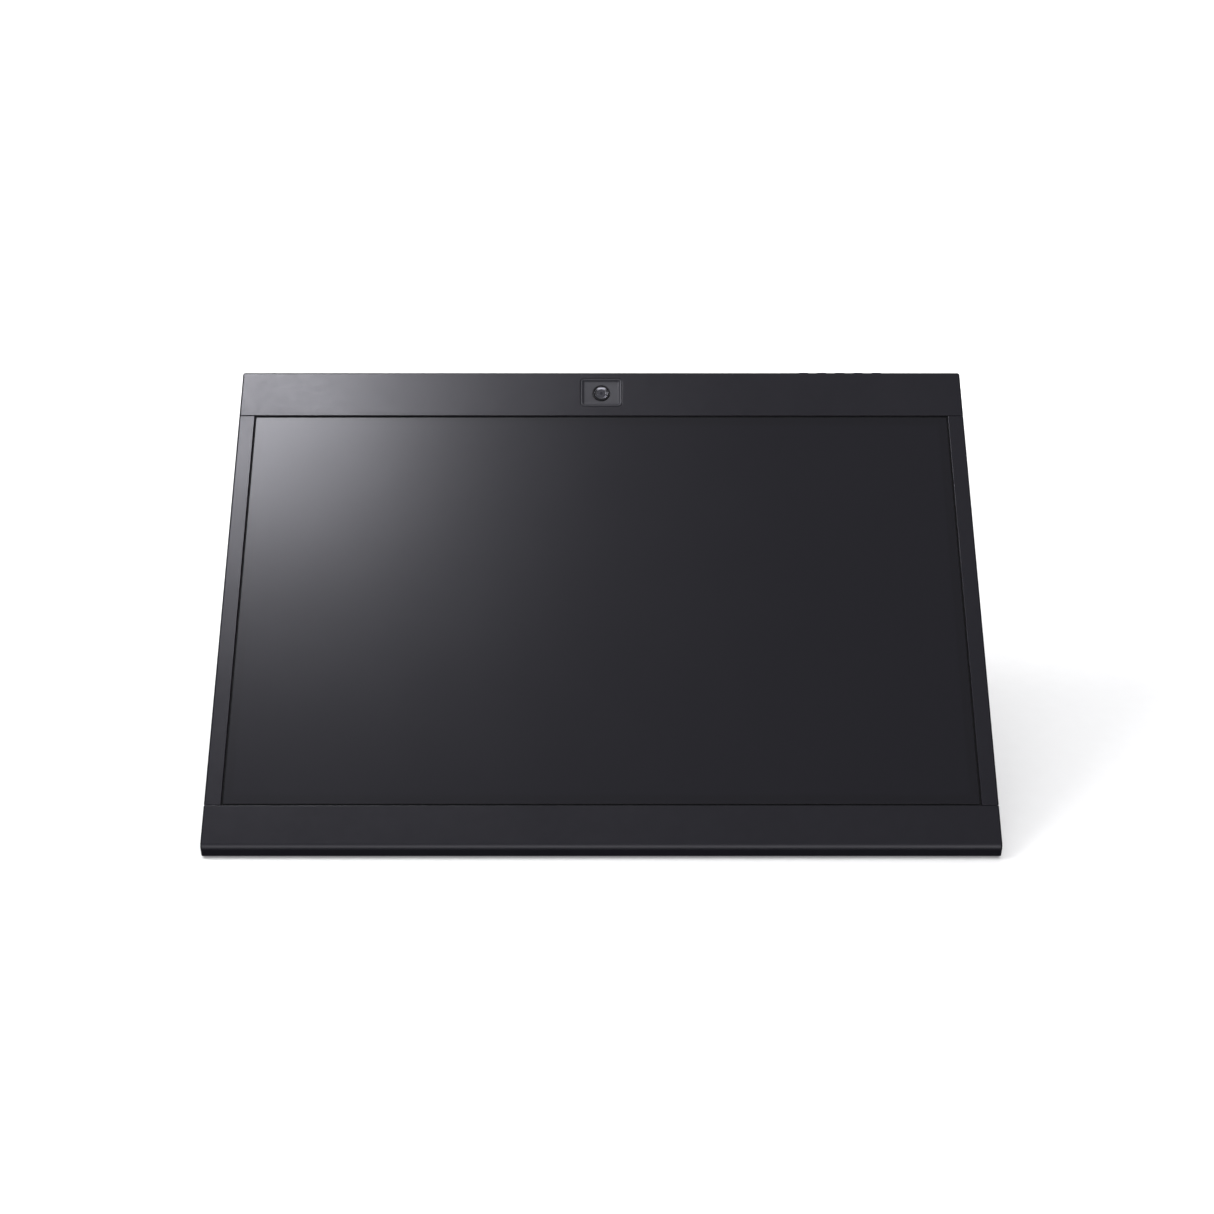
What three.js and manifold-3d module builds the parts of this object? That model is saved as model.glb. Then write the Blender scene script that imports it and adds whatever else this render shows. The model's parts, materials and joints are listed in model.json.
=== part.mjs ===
// A 27-inch desktop smart display that leans back on two legs.
// Millimetres, +Z up, the screen faces -Y, and the origin lies on the table under the middle of the box.
// The body is modelled in a panel frame that is turned by the tilt: X is across, Y runs up the screen and
// Z comes out of the screen. There, the front face is the plane z = 0, and y = 0 is the front corner,
// the line where the front face and the upright nose face would meet.
import * as THREE from "three";
import { mergeVertices } from "three/addons/utils/BufferGeometryUtils.js";
import Module from "manifold-3d";

const wasm = await Module();
wasm.setup();

// ---------------------------------------------------------------- driving dimensions
const TILT = THREE.MathUtils.degToRad(45); // angle between the screen and the table
const CLEAR = 0.3; // clearance between pieces that seat on each other
const SEAM = 0.4; // joint line between the front bars

const GLASS_WIDTH = 596.3;
const GLASS_HEIGHT = 335.8;
const GLASS_THICKNESS = 2;
const GLASS_RECESS = 1; // depth of the glass below the front face
const GLASS_GROOVE = 1.2; // groove between the glass and the bars

const SIDE_BAR_WIDTH = 13.65;
const CHIN_HEIGHT = 33; // front corner to the lower edge of the screen opening
const BAR_DEPTH = 22;
const WALL = 2.5;
const TOP_EDGE_RADIUS = 1.6;
const NOSE_RADIUS = 8;
const NOSE_HEIGHT = 11; // front corner above the table
const BODY_LIFT = 1.5; // underside above the table

const BODY_DEPTH = 40; // front face to the rear plateau
const COVER_EDGE = 4; // straight edge of the rear cover before its taper
const COVER_TAPER = 24;

const BUTTON_COUNT = 5;
const BUTTON_PITCH = 16;
const BUTTON_WIDTH = 8.5;
const BUTTON_DEPTH = 5.2;
const BUTTON_PROUD = 1.8;
const BUTTON_SETBACK = 3.5; // front face to the button's near edge
const BUTTON_ROW_INSET = 104; // body side to the middle button
const BUTTON_TRAVEL = 1;

const CAMERA_WIDTH = 35.7;
const CAMERA_HEIGHT = 26.9;
const CAMERA_CORNER = 3.4;
const CAMERA_ABOVE = 5.85; // window to the body's top
const CAMERA_BELOW = 9.15; // screen opening to the window
const CAMERA_DISH = 1.9; // depth of the dished floor
const CAMERA_SLOPE = 2.3; // width of the dish's sloping rim
const LENS_RADIUS = 7.4;

const VESA_PITCH = 100;
const VESA_HOLE_RADIUS = 2.1;
const VESA_ABOVE_BAY = 40; // port bay to the bracket pad
const VESA_PAD_MARGIN = 12; // beyond the holes
const VESA_PAD_RISE = 1.2;

const BAY_WIDTH = 150;
const BAY_LENGTH = 58;
const BAY_DEPTH = 16;
const BAY_START = 58; // front corner to the lower end of the port bay, up the panel

const LEG_WIDTH = 38;
const LEG_SPACING = 380; // between the middles of the legs
const LEG_THICKNESS = 8;
const LEG_BEND = 10; // inner radius of the leg's bends
const LEG_PAD_START = 200; // front corner to the leg's upper bend, up the panel
const LEG_PAD_LENGTH = 100;
const LEG_REACH = 235; // nose to the leg's lower bend
const LEG_FOOT_LENGTH = 65;
const LEG_SCREW_PITCH = 55;
const LEG_SCREW_END = 15; // upper end of the leg to the upper screw
const LEG_SCREW_RADIUS = 2.5;

const FRONT_FOOT_LENGTH = 90;
const FRONT_FOOT_DEPTH = 11;
const FRONT_FOOT_INSET = 48; // body side to the foot

// ---------------------------------------------------------------- derived places in the panel frame
const openingWidth = GLASS_WIDTH + 2 * GLASS_GROOVE;
const bodyWidth = openingWidth + 2 * SIDE_BAR_WIDTH;
const side = bodyWidth / 2;
const openingLow = CHIN_HEIGHT;
const openingHigh = openingLow + GLASS_HEIGHT + 2 * GLASS_GROOVE;
const cameraY = openingHigh + CAMERA_BELOW + CAMERA_HEIGHT / 2;
const bodyTop = cameraY + CAMERA_HEIGHT / 2 + CAMERA_ABOVE;
const screenMiddle = (openingLow + openingHigh) / 2;
const coverFront = -(BAR_DEPTH + CLEAR);
const coverInside = -(BODY_DEPTH - WALL);
const legX = LEG_SPACING / 2;
const buttonRowX = side - BUTTON_ROW_INSET;
const bayTop = BAY_START + BAY_LENGTH;

// The table is z = 0 in the world. These turn heights and reaches in the world into the panel frame.
const panelPoint = (reach, height) => [
  reach * Math.cos(TILT) + (height - NOSE_HEIGHT) * Math.sin(TILT),
  -reach * Math.sin(TILT) + (height - NOSE_HEIGHT) * Math.cos(TILT),
];
const reachOf = (y, z) => y * Math.cos(TILT) - z * Math.sin(TILT);
const yAtHeight = (height, z) => (height - NOSE_HEIGHT - z * Math.cos(TILT)) / Math.sin(TILT);
const bodyReach = reachOf(bodyTop, coverFront - COVER_EDGE);

// ---------------------------------------------------------------- solid helpers
// A closed three.js geometry as a manifold-3d solid.
function solid(geometry) {
  const bare = geometry.clone();
  bare.deleteAttribute("normal");
  bare.deleteAttribute("uv");
  const merged = mergeVertices(bare, 1e-4);
  return new wasm.Manifold(
    new wasm.Mesh({
      numProp: 3,
      vertProperties: merged.attributes.position.array,
      triVerts: new Uint32Array(merged.index.array),
    }),
  );
}

function geometryOf(body) {
  const { vertProperties, triVerts } = body.getMesh();
  const geometry = new THREE.BufferGeometry();
  geometry.setAttribute("position", new THREE.BufferAttribute(vertProperties, 3));
  geometry.setIndex(new THREE.BufferAttribute(triVerts, 1));
  geometry.computeVertexNormals();
  return geometry;
}

const join = (first, ...rest) => rest.reduce((sum, next) => sum.add(next), first);
const cut = (first, ...rest) => rest.reduce((sum, next) => sum.subtract(next), first);

// A block between two values on each axis.
function block([x0, x1], [y0, y1], [z0, z1]) {
  const geometry = new THREE.BoxGeometry(x1 - x0, y1 - y0, z1 - z0);
  geometry.translate((x0 + x1) / 2, (y0 + y1) / 2, (z0 + z1) / 2);
  return solid(geometry);
}

// A block centred across X.
const slab = (width, ys, zs, middle = 0) => block([middle - width / 2, middle + width / 2], ys, zs);

// A closed outline through corners [x, y, radius], where a corner with a radius is a true arc.
function outline(corners) {
  const shape = new THREE.Shape();
  corners.forEach(([x, y, radius = 0], i) => {
    const corner = new THREE.Vector2(x, y);
    const last = new THREE.Vector2(...corners.at(i - 1)).sub(corner).normalize();
    const next = new THREE.Vector2(...corners[(i + 1) % corners.length]).sub(corner).normalize();
    const draw = i ? "lineTo" : "moveTo";
    if (!radius) {
      shape[draw](x, y);
      return;
    }
    const half = last.angleTo(next) / 2;
    const start = corner.clone().addScaledVector(last, radius / Math.tan(half));
    const end = corner.clone().addScaledVector(next, radius / Math.tan(half));
    const inward = last.clone().add(next).normalize();
    const centre = corner.clone().addScaledVector(inward, radius / Math.sin(half));
    const angle = (point) => Math.atan2(point.y - centre.y, point.x - centre.x);
    shape[draw](start.x, start.y);
    shape.absarc(centre.x, centre.y, radius, angle(start), angle(end), last.cross(next) > 0);
  });
  return shape;
}

function roundedRect(width, height, radius, x = 0, y = 0) {
  const [w, h] = [width / 2, height / 2];
  return outline([
    [x - w, y - h, radius],
    [x + w, y - h, radius],
    [x + w, y + h, radius],
    [x - w, y + h, radius],
  ]);
}

// The convex outline moved inwards by a distance.
function inset(corners, distance) {
  const lines = corners.map(([x, y], i) => {
    const [nx, ny] = corners[(i + 1) % corners.length];
    const length = Math.hypot(nx - x, ny - y);
    const [dx, dy] = [(nx - x) / length, (ny - y) / length];
    return { x: x - dy * distance, y: y + dx * distance, dx, dy };
  });
  return lines.map((line, i) => {
    const last = lines.at(i - 1);
    const t =
      ((line.x - last.x) * line.dy - (line.y - last.y) * line.dx) /
      (last.dx * line.dy - last.dy * line.dx);
    return [last.x + last.dx * t, last.y + last.dy * t];
  });
}

// A strip of one thickness to the left of a path of corners, with its bends rounded.
function strip(path, thickness, bend) {
  const headings = path.slice(1).map(([x, y], i) => Math.atan2(y - path[i][1], x - path[i][0]));
  const turnAt = (i) => {
    const before = headings[Math.max(i - 1, 0)];
    const after = headings[Math.min(i, headings.length - 1)];
    const turn = Math.atan2(Math.sin(after - before), Math.cos(after - before));
    return [turn, before + turn / 2];
  };
  const radius = (turn, hand) => (turn ? bend + (turn * hand > 0 ? thickness : 0) : 0);
  const near = path.map(([x, y], i) => [x, y, radius(turnAt(i)[0], 1)]);
  const far = path.map(([x, y], i) => {
    const [turn, middle] = turnAt(i);
    const across = thickness / Math.cos(turn / 2);
    return [x - across * Math.sin(middle), y + across * Math.cos(middle), radius(turn, -1)];
  });
  return [...near, ...far.reverse()];
}

// Straight pieces in each rounded corner.
const ARC_STEPS = 3;
const NOSE_STEPS = 12;
const BEND_STEPS = 10;
const extruded = (shape, depth, steps = ARC_STEPS) =>
  new THREE.ExtrudeGeometry(shape, { depth, bevelEnabled: false, curveSegments: steps });

// A (y, z) outline carried along X.
function alongX(shape, [x0, x1], steps) {
  const turn = new THREE.Matrix4().makeBasis(
    new THREE.Vector3(0, 1, 0),
    new THREE.Vector3(0, 0, 1),
    new THREE.Vector3(1, 0, 0),
  );
  return solid(extruded(shape, x1 - x0, steps).applyMatrix4(turn).translate(x0, 0, 0));
}

// An (x, z) outline carried along Y.
const alongY = (shape, [y0, y1], steps) =>
  solid(extruded(shape, y1 - y0, steps).rotateX(Math.PI / 2).translate(0, y1, 0));

// An (x, y) outline carried along Z.
const alongZ = (shape, [z0, z1], steps) =>
  solid(extruded(shape, z1 - z0, steps).translate(0, 0, z0));

// A turned solid about a line parallel to Z, from a closed profile of [radius, z] that runs counterclockwise.
function turned(profile, x, y, sides = 24) {
  const points = [...profile, profile[0]].map(([radius, z]) => new THREE.Vector2(radius, z));
  return solid(new THREE.LatheGeometry(points, sides).rotateX(Math.PI / 2).translate(x, y, 0));
}

const rod = (radius, [z0, z1], x, y, sides = 12) =>
  turned([[0, z0], [radius, z0], [radius, z1], [0, z1]], x, y, sides);

// ---------------------------------------------------------------- materials
const finish = (color, roughness, metalness = 0) =>
  new THREE.MeshStandardMaterial({ color, roughness, metalness });
const FINISH = {
  frame: finish(0x1d1d20, 0.42, 0.3),
  cover: finish(0x1b1b1d, 0.6),
  glass: finish(0x101013, 0.25),
  optics: finish(0xd9dde2, 0.3),
  gasket: finish(0x0a0a0b, 0.9),
  rubber: finish(0x141414, 0.95),
  steel: finish(0x9aa0a6, 0.4, 0.9),
  screw: finish(0x232326, 0.35, 0.8),
  circuit: finish(0x1c4a33, 0.55),
  cable: finish(0xd8d4c8, 0.5),
  cameraFloor: finish(0x26262a, 0.3),
  lens: finish(0x0b0b12, 0.05),
  port: finish(0x8d8f92, 0.3, 0.9),
  speaker: finish(0x202022, 0.7),
};

const panel = new THREE.Group();
panel.rotation.x = TILT;
panel.position.set(0, -bodyReach / 2, NOSE_HEIGHT);
const display = new THREE.Group();
display.add(panel);

function addTo(group, name, body, material) {
  const mesh = new THREE.Mesh(geometryOf(body), material);
  mesh.name = name;
  group.add(mesh);
}
const add = (name, body, material) => addTo(panel, name, body, material);

// ---------------------------------------------------------------- front bars
// Corners of the body's section in (y, z), from the front face round the nose to the underside.
const noseFoot = panelPoint(0, BODY_LIFT);
const underside = (z) => [yAtHeight(BODY_LIFT, z), z];

function bottomBar() {
  const high = openingLow - SEAM / 2;
  const section = [[0, 0], noseFoot, underside(-BAR_DEPTH), [high, -BAR_DEPTH], [high, 0]];
  const [noseInside, footInside] = inset(section, WALL);
  // The hollow is open towards the screen and the rear.
  const hollow = [
    noseInside,
    footInside,
    [yAtHeight(BODY_LIFT + WALL, -BAR_DEPTH - 1), -BAR_DEPTH - 1],
    [high + 1, -BAR_DEPTH - 1],
    [high + 1, -WALL],
  ];
  section[0] = [0, 0, NOSE_RADIUS];
  return cut(
    alongX(outline(section), [-side, side], NOSE_STEPS),
    alongX(outline(hollow), [-side + WALL, side - WALL]),
  );
}

function buttonX(index) {
  return buttonRowX + (index - (BUTTON_COUNT - 1) / 2) * BUTTON_PITCH;
}
const buttonZ = -(BUTTON_SETBACK + BUTTON_DEPTH / 2);

function topBar() {
  const low = openingHigh + SEAM / 2;
  const section = [
    [low, 0],
    [low, -BAR_DEPTH],
    [bodyTop, -BAR_DEPTH],
    [bodyTop, 0, TOP_EDGE_RADIUS],
  ];
  const hollow = block([-side + WALL, side - WALL], [low - 1, bodyTop - WALL], [-BAR_DEPTH - 1, -WALL]);
  const window = alongZ(
    roundedRect(CAMERA_WIDTH, CAMERA_HEIGHT, CAMERA_CORNER, 0, cameraY),
    [-WALL - 1, 1],
  );
  const holes = Array.from({ length: BUTTON_COUNT }, (_, i) =>
    alongY(
      roundedRect(BUTTON_WIDTH + 2 * CLEAR, BUTTON_DEPTH + 2 * CLEAR, 1.2, buttonX(i), buttonZ),
      [bodyTop - WALL - 1, bodyTop + 1],
      2,
    ),
  );
  return cut(alongX(outline(section), [-side, side], 6), hollow, window, ...holes);
}

// hand is -1 for the left bar and 1 for the right.
function sideBar(hand) {
  const [low, high] = [openingLow + SEAM / 2, openingHigh - SEAM / 2];
  const inner = openingWidth / 2;
  const across = (a, b) => (hand > 0 ? [a, b] : [-b, -a]);
  return cut(
    block(across(inner, side), [low, high], [-BAR_DEPTH, 0]),
    block(across(inner - 1, side - WALL), [low - 1, high + 1], [-BAR_DEPTH - 1, -WALL]),
  );
}

add("top_bar", topBar(), FINISH.frame);
add("bottom_bar", bottomBar(), FINISH.frame);
add("left_bar", sideBar(-1), FINISH.frame);
add("right_bar", sideBar(1), FINISH.frame);

// ---------------------------------------------------------------- screen stack
const GASKET_OVERLAP = 3.2; // under the glass
const GASKET_MARGIN = 6.5; // beyond the glass
const GASKET_THICKNESS = 1;
const LCD_MARGIN = 3.8;
const LCD_THICKNESS = 1.6;
const DIFFUSER_THICKNESS = 0.8;
const GUIDE_THICKNESS = 3;
const LED_WIDTH = 2;
const TRAY_THICKNESS = 1.2;
const CHASSIS_THICKNESS = 1.5;
const CHASSIS_OFFSET = 0.9; // behind the backlight tray
const CHASSIS_MARGIN = 5;

const glassBack = -(GLASS_RECESS + GLASS_THICKNESS);
const aroundScreen = (margin, zs) =>
  slab(
    GLASS_WIDTH + 2 * margin,
    [screenMiddle - GLASS_HEIGHT / 2 - margin, screenMiddle + GLASS_HEIGHT / 2 + margin],
    zs,
  );
// Each layer starts a clearance behind the one in front of it.
const layer = (front, thickness) => [front - CLEAR - thickness, front - CLEAR];
const gasketZ = layer(glassBack, GASKET_THICKNESS);
const lcdZ = layer(gasketZ[0], LCD_THICKNESS);
const diffuserZ = layer(lcdZ[0], DIFFUSER_THICKNESS);
const guideZ = layer(diffuserZ[0], GUIDE_THICKNESS);
const trayZ = layer(guideZ[0], TRAY_THICKNESS);
const chassisFront = trayZ[0] - CHASSIS_OFFSET;
const chassisZ = [chassisFront - CHASSIS_THICKNESS, chassisFront];
const chassisLow = openingLow + CHASSIS_MARGIN;
const chassisHigh = openingHigh + CHASSIS_MARGIN / 2;

// The boards stand off the chassis, and the flat cables lie on the boards' connectors.
const BOARD_THICKNESS = 1.6;
const BOARD_STANDOFF = 4;
const CONNECTOR_HEIGHT = 2.4;
const CABLE_THICKNESS = 0.4;
const boardFront = chassisZ[0] - BOARD_STANDOFF;
const boardZ = [boardFront - BOARD_THICKNESS, boardFront];
const cableFront = boardZ[0] - CONNECTOR_HEIGHT - CLEAR;
const cableZ = [cableFront - CABLE_THICKNESS, cableFront];

function backlightTray() {
  const rim = LCD_MARGIN + CLEAR + TRAY_THICKNESS;
  return cut(
    aroundScreen(rim, [trayZ[0], lcdZ[1]]),
    aroundScreen(rim - TRAY_THICKNESS, [trayZ[1], lcdZ[1] + 1]),
  );
}

function ledStrip(hand) {
  const x = hand * (GLASS_WIDTH / 2 + LCD_MARGIN - LED_WIDTH / 2);
  const half = GLASS_HEIGHT / 2;
  return slab(LED_WIDTH, [screenMiddle - half, screenMiddle + half], guideZ, x);
}

add(
  "screen_glass",
  aroundScreen(0, [glassBack, -GLASS_RECESS]),
  FINISH.glass,
);
add(
  "screen_gasket",
  cut(aroundScreen(GASKET_MARGIN, gasketZ), aroundScreen(-GASKET_OVERLAP, [gasketZ[0] - 1, gasketZ[1] + 1])),
  FINISH.gasket,
);
add("lens_sheet", aroundScreen(-GASKET_OVERLAP - CLEAR, gasketZ), FINISH.optics);
add("lcd_panel", aroundScreen(LCD_MARGIN, lcdZ), FINISH.glass);
add("diffuser_sheet", aroundScreen(LCD_MARGIN, diffuserZ), FINISH.optics);
add("light_guide", aroundScreen(LCD_MARGIN - LED_WIDTH - CLEAR, guideZ), FINISH.optics);
add("led_strip_left", ledStrip(-1), FINISH.circuit);
add("led_strip_right", ledStrip(1), FINISH.circuit);
add("backlight_tray", backlightTray(), FINISH.steel);

// ---------------------------------------------------------------- rear cover and its fixings
const COVER_SCREW_RADIUS = 1.5;
const COVER_SCREW_HEAD = 3.4;
const COVER_BOSS_RADIUS = 5;
const COVER_SCREW_INSET = 50; // body side to the screw
const COVER_SCREW_EDGE = 12; // chassis edge to the screw
const SCREW_SINK = 3; // depth of a screw head's counterbore
const LEG_SCREW_HEAD = 4.5;
const VENT_WIDTH = 3;
const VENT_LENGTH = 18;
const VENT_PITCH = 7;
const VENT_COUNT = 14; // slots in each upper bank
const VENT_BELOW_TOP = 52;
const VENT_MIDDLE = 100; // middle of an upper bank from the middle of the display
const SPEAKER_INSET = 108; // body side to the speaker's middle
const SPEAKER_Y = 62;
const SPEAKER_SLOTS = 7;
const PORT_Z = -(BODY_DEPTH - BAY_DEPTH / 2);
const speakerX = side - SPEAKER_INSET;

const coverScrews = [-1, 1].flatMap((hand) => [
  [hand * (side - COVER_SCREW_INSET), chassisHigh - COVER_SCREW_EDGE],
  [hand * (side - COVER_SCREW_INSET), chassisLow + COVER_SCREW_EDGE],
]);
const legScrewMiddle = LEG_PAD_START + LEG_PAD_LENGTH - LEG_SCREW_END - LEG_SCREW_PITCH / 2;
const legScrews = [-1, 1].flatMap((hand) =>
  [-1, 1].map((end) => [
    hand * legX,
    legScrewMiddle + (end * LEG_SCREW_PITCH) / 2,
  ]),
);
const vesaPadSize = VESA_PITCH + 2 * VESA_PAD_MARGIN;
const vesaMiddle = bayTop + VESA_ABOVE_BAY + vesaPadSize / 2;
const vesaHoles = [-1, 1].flatMap((a) =>
  [-1, 1].map((b) => [(a * VESA_PITCH) / 2, vesaMiddle + (b * VESA_PITCH) / 2]),
);

// Ports face down the panel from the upper wall of the bay: [name, x, width, height, corner radius].
const PORTS = [
  { name: "hdmi_port", x: -46, width: 15, height: 5.6, corner: 0.8 },
  { name: "usb_c_port", x: -10, width: 9.6, height: 4, corner: 1.9 },
  { name: "dc_jack", x: 34, width: 11, height: 11, corner: 1 },
];

// One shell's envelope: the section across Y and Z met by the section across X and Z.
function coverEnvelope(distance, front) {
  const lengthwise = inset(
    [
      [bodyTop, coverFront],
      underside(coverFront),
      underside(-BODY_DEPTH),
      [bodyTop - COVER_TAPER, -BODY_DEPTH],
      [bodyTop, coverFront - COVER_EDGE],
    ],
    distance,
  );
  const crosswise = inset(
    [
      [-side, coverFront],
      [-side, coverFront - COVER_EDGE],
      [-side + COVER_TAPER, -BODY_DEPTH],
      [side - COVER_TAPER, -BODY_DEPTH],
      [side, coverFront - COVER_EDGE],
      [side, coverFront],
    ],
    distance,
  );
  const whole = alongX(outline(lengthwise), [-side - 1, side + 1]).intersect(
    alongY(outline(crosswise), [-BODY_DEPTH, bodyTop + BODY_DEPTH]),
  );
  // The inset also moved the open front face, so the section there is carried on to the front.
  if (!distance) return whole;
  const opening = block(
    [-side + distance, side - distance],
    [yAtHeight(BODY_LIFT, coverFront) + distance / Math.sin(TILT), bodyTop - distance],
    [coverFront - distance - 0.5, front],
  );
  return whole.add(opening);
}

function slots(count, x, y) {
  const [ys, zs] = [[y - VENT_LENGTH / 2, y + VENT_LENGTH / 2], [-BODY_DEPTH - 1, coverInside + 1]];
  return Array.from({ length: count }, (_, i) =>
    slab(VENT_WIDTH, ys, zs, x + (i - (count - 1) / 2) * VENT_PITCH),
  );
}

function rearCover() {
  const bay = (grow, zs) =>
    slab(BAY_WIDTH + 2 * grow, [BAY_START - grow, bayTop + grow], zs);
  const hollow = cut(
    coverEnvelope(WALL, coverFront + 1),
    bay(WALL, [-BODY_DEPTH, -BODY_DEPTH + BAY_DEPTH + WALL]),
    ...coverScrews.map(([x, y]) => rod(COVER_BOSS_RADIUS, [-BODY_DEPTH, chassisZ[0] - CLEAR], x, y)),
  );
  const padBack = -BODY_DEPTH - VESA_PAD_RISE;
  const vesaPad = alongZ(
    roundedRect(vesaPadSize, vesaPadSize, 6, 0, vesaMiddle),
    [padBack, -BODY_DEPTH + 1],
  );
  const through = [padBack - 1, coverFront + 1];
  return cut(
    join(coverEnvelope(0), vesaPad),
    hollow,
    bay(0, [-BODY_DEPTH - 1, -BODY_DEPTH + BAY_DEPTH]),
    ...PORTS.map(({ x, width, height, corner }) =>
      alongY(
        roundedRect(width + 2 * CLEAR, height + 2 * CLEAR, corner + CLEAR, x, PORT_Z),
        [bayTop - 1, bayTop + WALL + 1],
        2,
      ),
    ),
    ...coverScrews.map(([x, y]) => rod(COVER_SCREW_RADIUS + CLEAR, through, x, y)),
    ...coverScrews.map(([x, y]) =>
      rod(COVER_SCREW_HEAD + CLEAR, [-BODY_DEPTH - 1, -BODY_DEPTH + SCREW_SINK], x, y),
    ),
    ...legScrews.map(([x, y]) => rod(LEG_SCREW_RADIUS + CLEAR, through, x, y)),
    ...vesaHoles.map(([x, y]) => rod(VESA_HOLE_RADIUS + CLEAR, through, x, y)),
    ...[-1, 1].flatMap((hand) => [
      ...slots(VENT_COUNT, hand * VENT_MIDDLE, bodyTop - VENT_BELOW_TOP),
      ...slots(SPEAKER_SLOTS, hand * speakerX, SPEAKER_Y),
    ]),
  );
}

function capScrew(head, radius, x, y, [tip, seat], headHeight) {
  const socket = alongZ(
    outline(Array.from({ length: 6 }, (_, i) => {
      const angle = (i * Math.PI) / 3;
      return [x + 0.5 * head * Math.cos(angle), y + 0.5 * head * Math.sin(angle)];
    })),
    [seat - headHeight - 1, seat - headHeight * 0.45],
  );
  return cut(
    turned(
      [
        [0, seat - headHeight],
        [head - 0.5, seat - headHeight],
        [head, seat - headHeight + 0.5],
        [head, seat],
        [radius, seat],
        [radius, tip],
        [0, tip],
      ],
      x,
      y,
      16,
    ),
    socket,
  );
}

add("rear_cover", rearCover(), FINISH.cover);
coverScrews.forEach(([x, y], i) => {
  const seat = -BODY_DEPTH + SCREW_SINK - CLEAR;
  add(
    `cover_screw_${i + 1}`,
    capScrew(COVER_SCREW_HEAD, COVER_SCREW_RADIUS, x, y, [trayZ[0] - CLEAR, seat], SCREW_SINK - 2 * CLEAR),
    FINISH.screw,
  );
});

// ---------------------------------------------------------------- legs
const BRACKET_THICKNESS = 3;
const BRACKET_MARGIN = 13; // beyond the screws
const legPadZ = -(BODY_DEPTH + CLEAR);
const legPadBack = legPadZ - LEG_THICKNESS;
const legFootEnd = LEG_REACH + LEG_FOOT_LENGTH;

// A bent flat bar: a pad on the rear cover, a strut and a foot on the table.
function leg(hand) {
  const middle = hand * legX;
  const path = [
    [LEG_PAD_START + LEG_PAD_LENGTH, legPadZ],
    [LEG_PAD_START, legPadZ],
    panelPoint(LEG_REACH, BODY_LIFT),
    panelPoint(legFootEnd, BODY_LIFT),
  ];
  const holes = legScrews
    .filter(([x]) => x === middle)
    .flatMap(([x, y]) => [
      rod(LEG_SCREW_RADIUS + CLEAR, [legPadBack - 1, legPadZ + 1], x, y),
      rod(LEG_SCREW_HEAD + CLEAR, [legPadBack - 1, legPadBack + SCREW_SINK], x, y),
    ]);
  return cut(
    alongX(
      outline(strip(path, LEG_THICKNESS, LEG_BEND)),
      [middle - LEG_WIDTH / 2, middle + LEG_WIDTH / 2],
      BEND_STEPS,
    ),
    ...holes,
  );
}

function legBracket(hand) {
  const middle = hand * legX;
  const z = [coverInside + CLEAR, coverInside + CLEAR + BRACKET_THICKNESS];
  return cut(
    alongZ(roundedRect(LEG_WIDTH, LEG_SCREW_PITCH + 2 * BRACKET_MARGIN, 4, middle, legScrewMiddle), z),
    ...legScrews
      .filter(([x]) => x === middle)
      .map(([x, y]) => rod(LEG_SCREW_RADIUS + CLEAR, [z[0] - 1, z[1] + 1], x, y)),
  );
}

function vesaPlate() {
  const z = [coverInside + CLEAR, coverInside + CLEAR + 2];
  return cut(
    alongZ(roundedRect(vesaPadSize, vesaPadSize, 6, 0, vesaMiddle), z),
    ...vesaHoles.map(([x, y]) => rod(VESA_HOLE_RADIUS, [z[0] - 1, z[1] + 1], x, y)),
  );
}

for (const [name, hand] of [["left", -1], ["right", 1]]) {
  add(`${name}_leg`, leg(hand), FINISH.frame);
  add(`${name}_leg_bracket`, legBracket(hand), FINISH.steel);
}
add("vesa_plate", vesaPlate(), FINISH.steel);
legScrews.forEach(([x, y], i) => {
  const seat = legPadBack + SCREW_SINK - CLEAR;
  const tip = coverInside + 2 * CLEAR + BRACKET_THICKNESS;
  add(
    `leg_screw_${i + 1}`,
    capScrew(LEG_SCREW_HEAD, LEG_SCREW_RADIUS, x, y, [tip, seat], SCREW_SINK),
    FINISH.screw,
  );
});

// ---------------------------------------------------------------- feet, in the world frame
const front = -bodyReach / 2;
function rubberFoot(name, x, [near, far], width) {
  const body = alongZ(
    roundedRect(width, far - near, 3, x, front + (near + far) / 2),
    [0, BODY_LIFT - CLEAR],
  );
  addTo(display, name, body, FINISH.rubber);
}
const FOOT_MARGIN = 4;
const legFootStart = LEG_REACH + LEG_BEND + LEG_THICKNESS; // past the lower bend
const undersideReach = reachOf(...underside(-BAR_DEPTH));
const frontFootMiddle = undersideReach / 2;
for (const [name, hand] of [["left", -1], ["right", 1]]) {
  rubberFoot(
    `${name}_leg_foot`,
    hand * legX,
    [legFootStart, legFootEnd - FOOT_MARGIN],
    LEG_WIDTH - 2 * FOOT_MARGIN,
  );
  rubberFoot(
    `${name}_front_foot`,
    hand * (side - FRONT_FOOT_INSET - FRONT_FOOT_LENGTH / 2),
    [frontFootMiddle - FRONT_FOOT_DEPTH / 2, frontFootMiddle + FRONT_FOOT_DEPTH / 2],
    FRONT_FOOT_LENGTH,
  );
}

// ---------------------------------------------------------------- camera
const TRAY_FLOOR = 2; // thickness under the dished floor
const cameraFloorZ = -CAMERA_DISH;
const cameraTrayBack = cameraFloorZ - TRAY_FLOOR;
const BARREL_LENGTH = 7;
const BARREL_PROUD = 0.9; // above the dished floor

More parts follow.
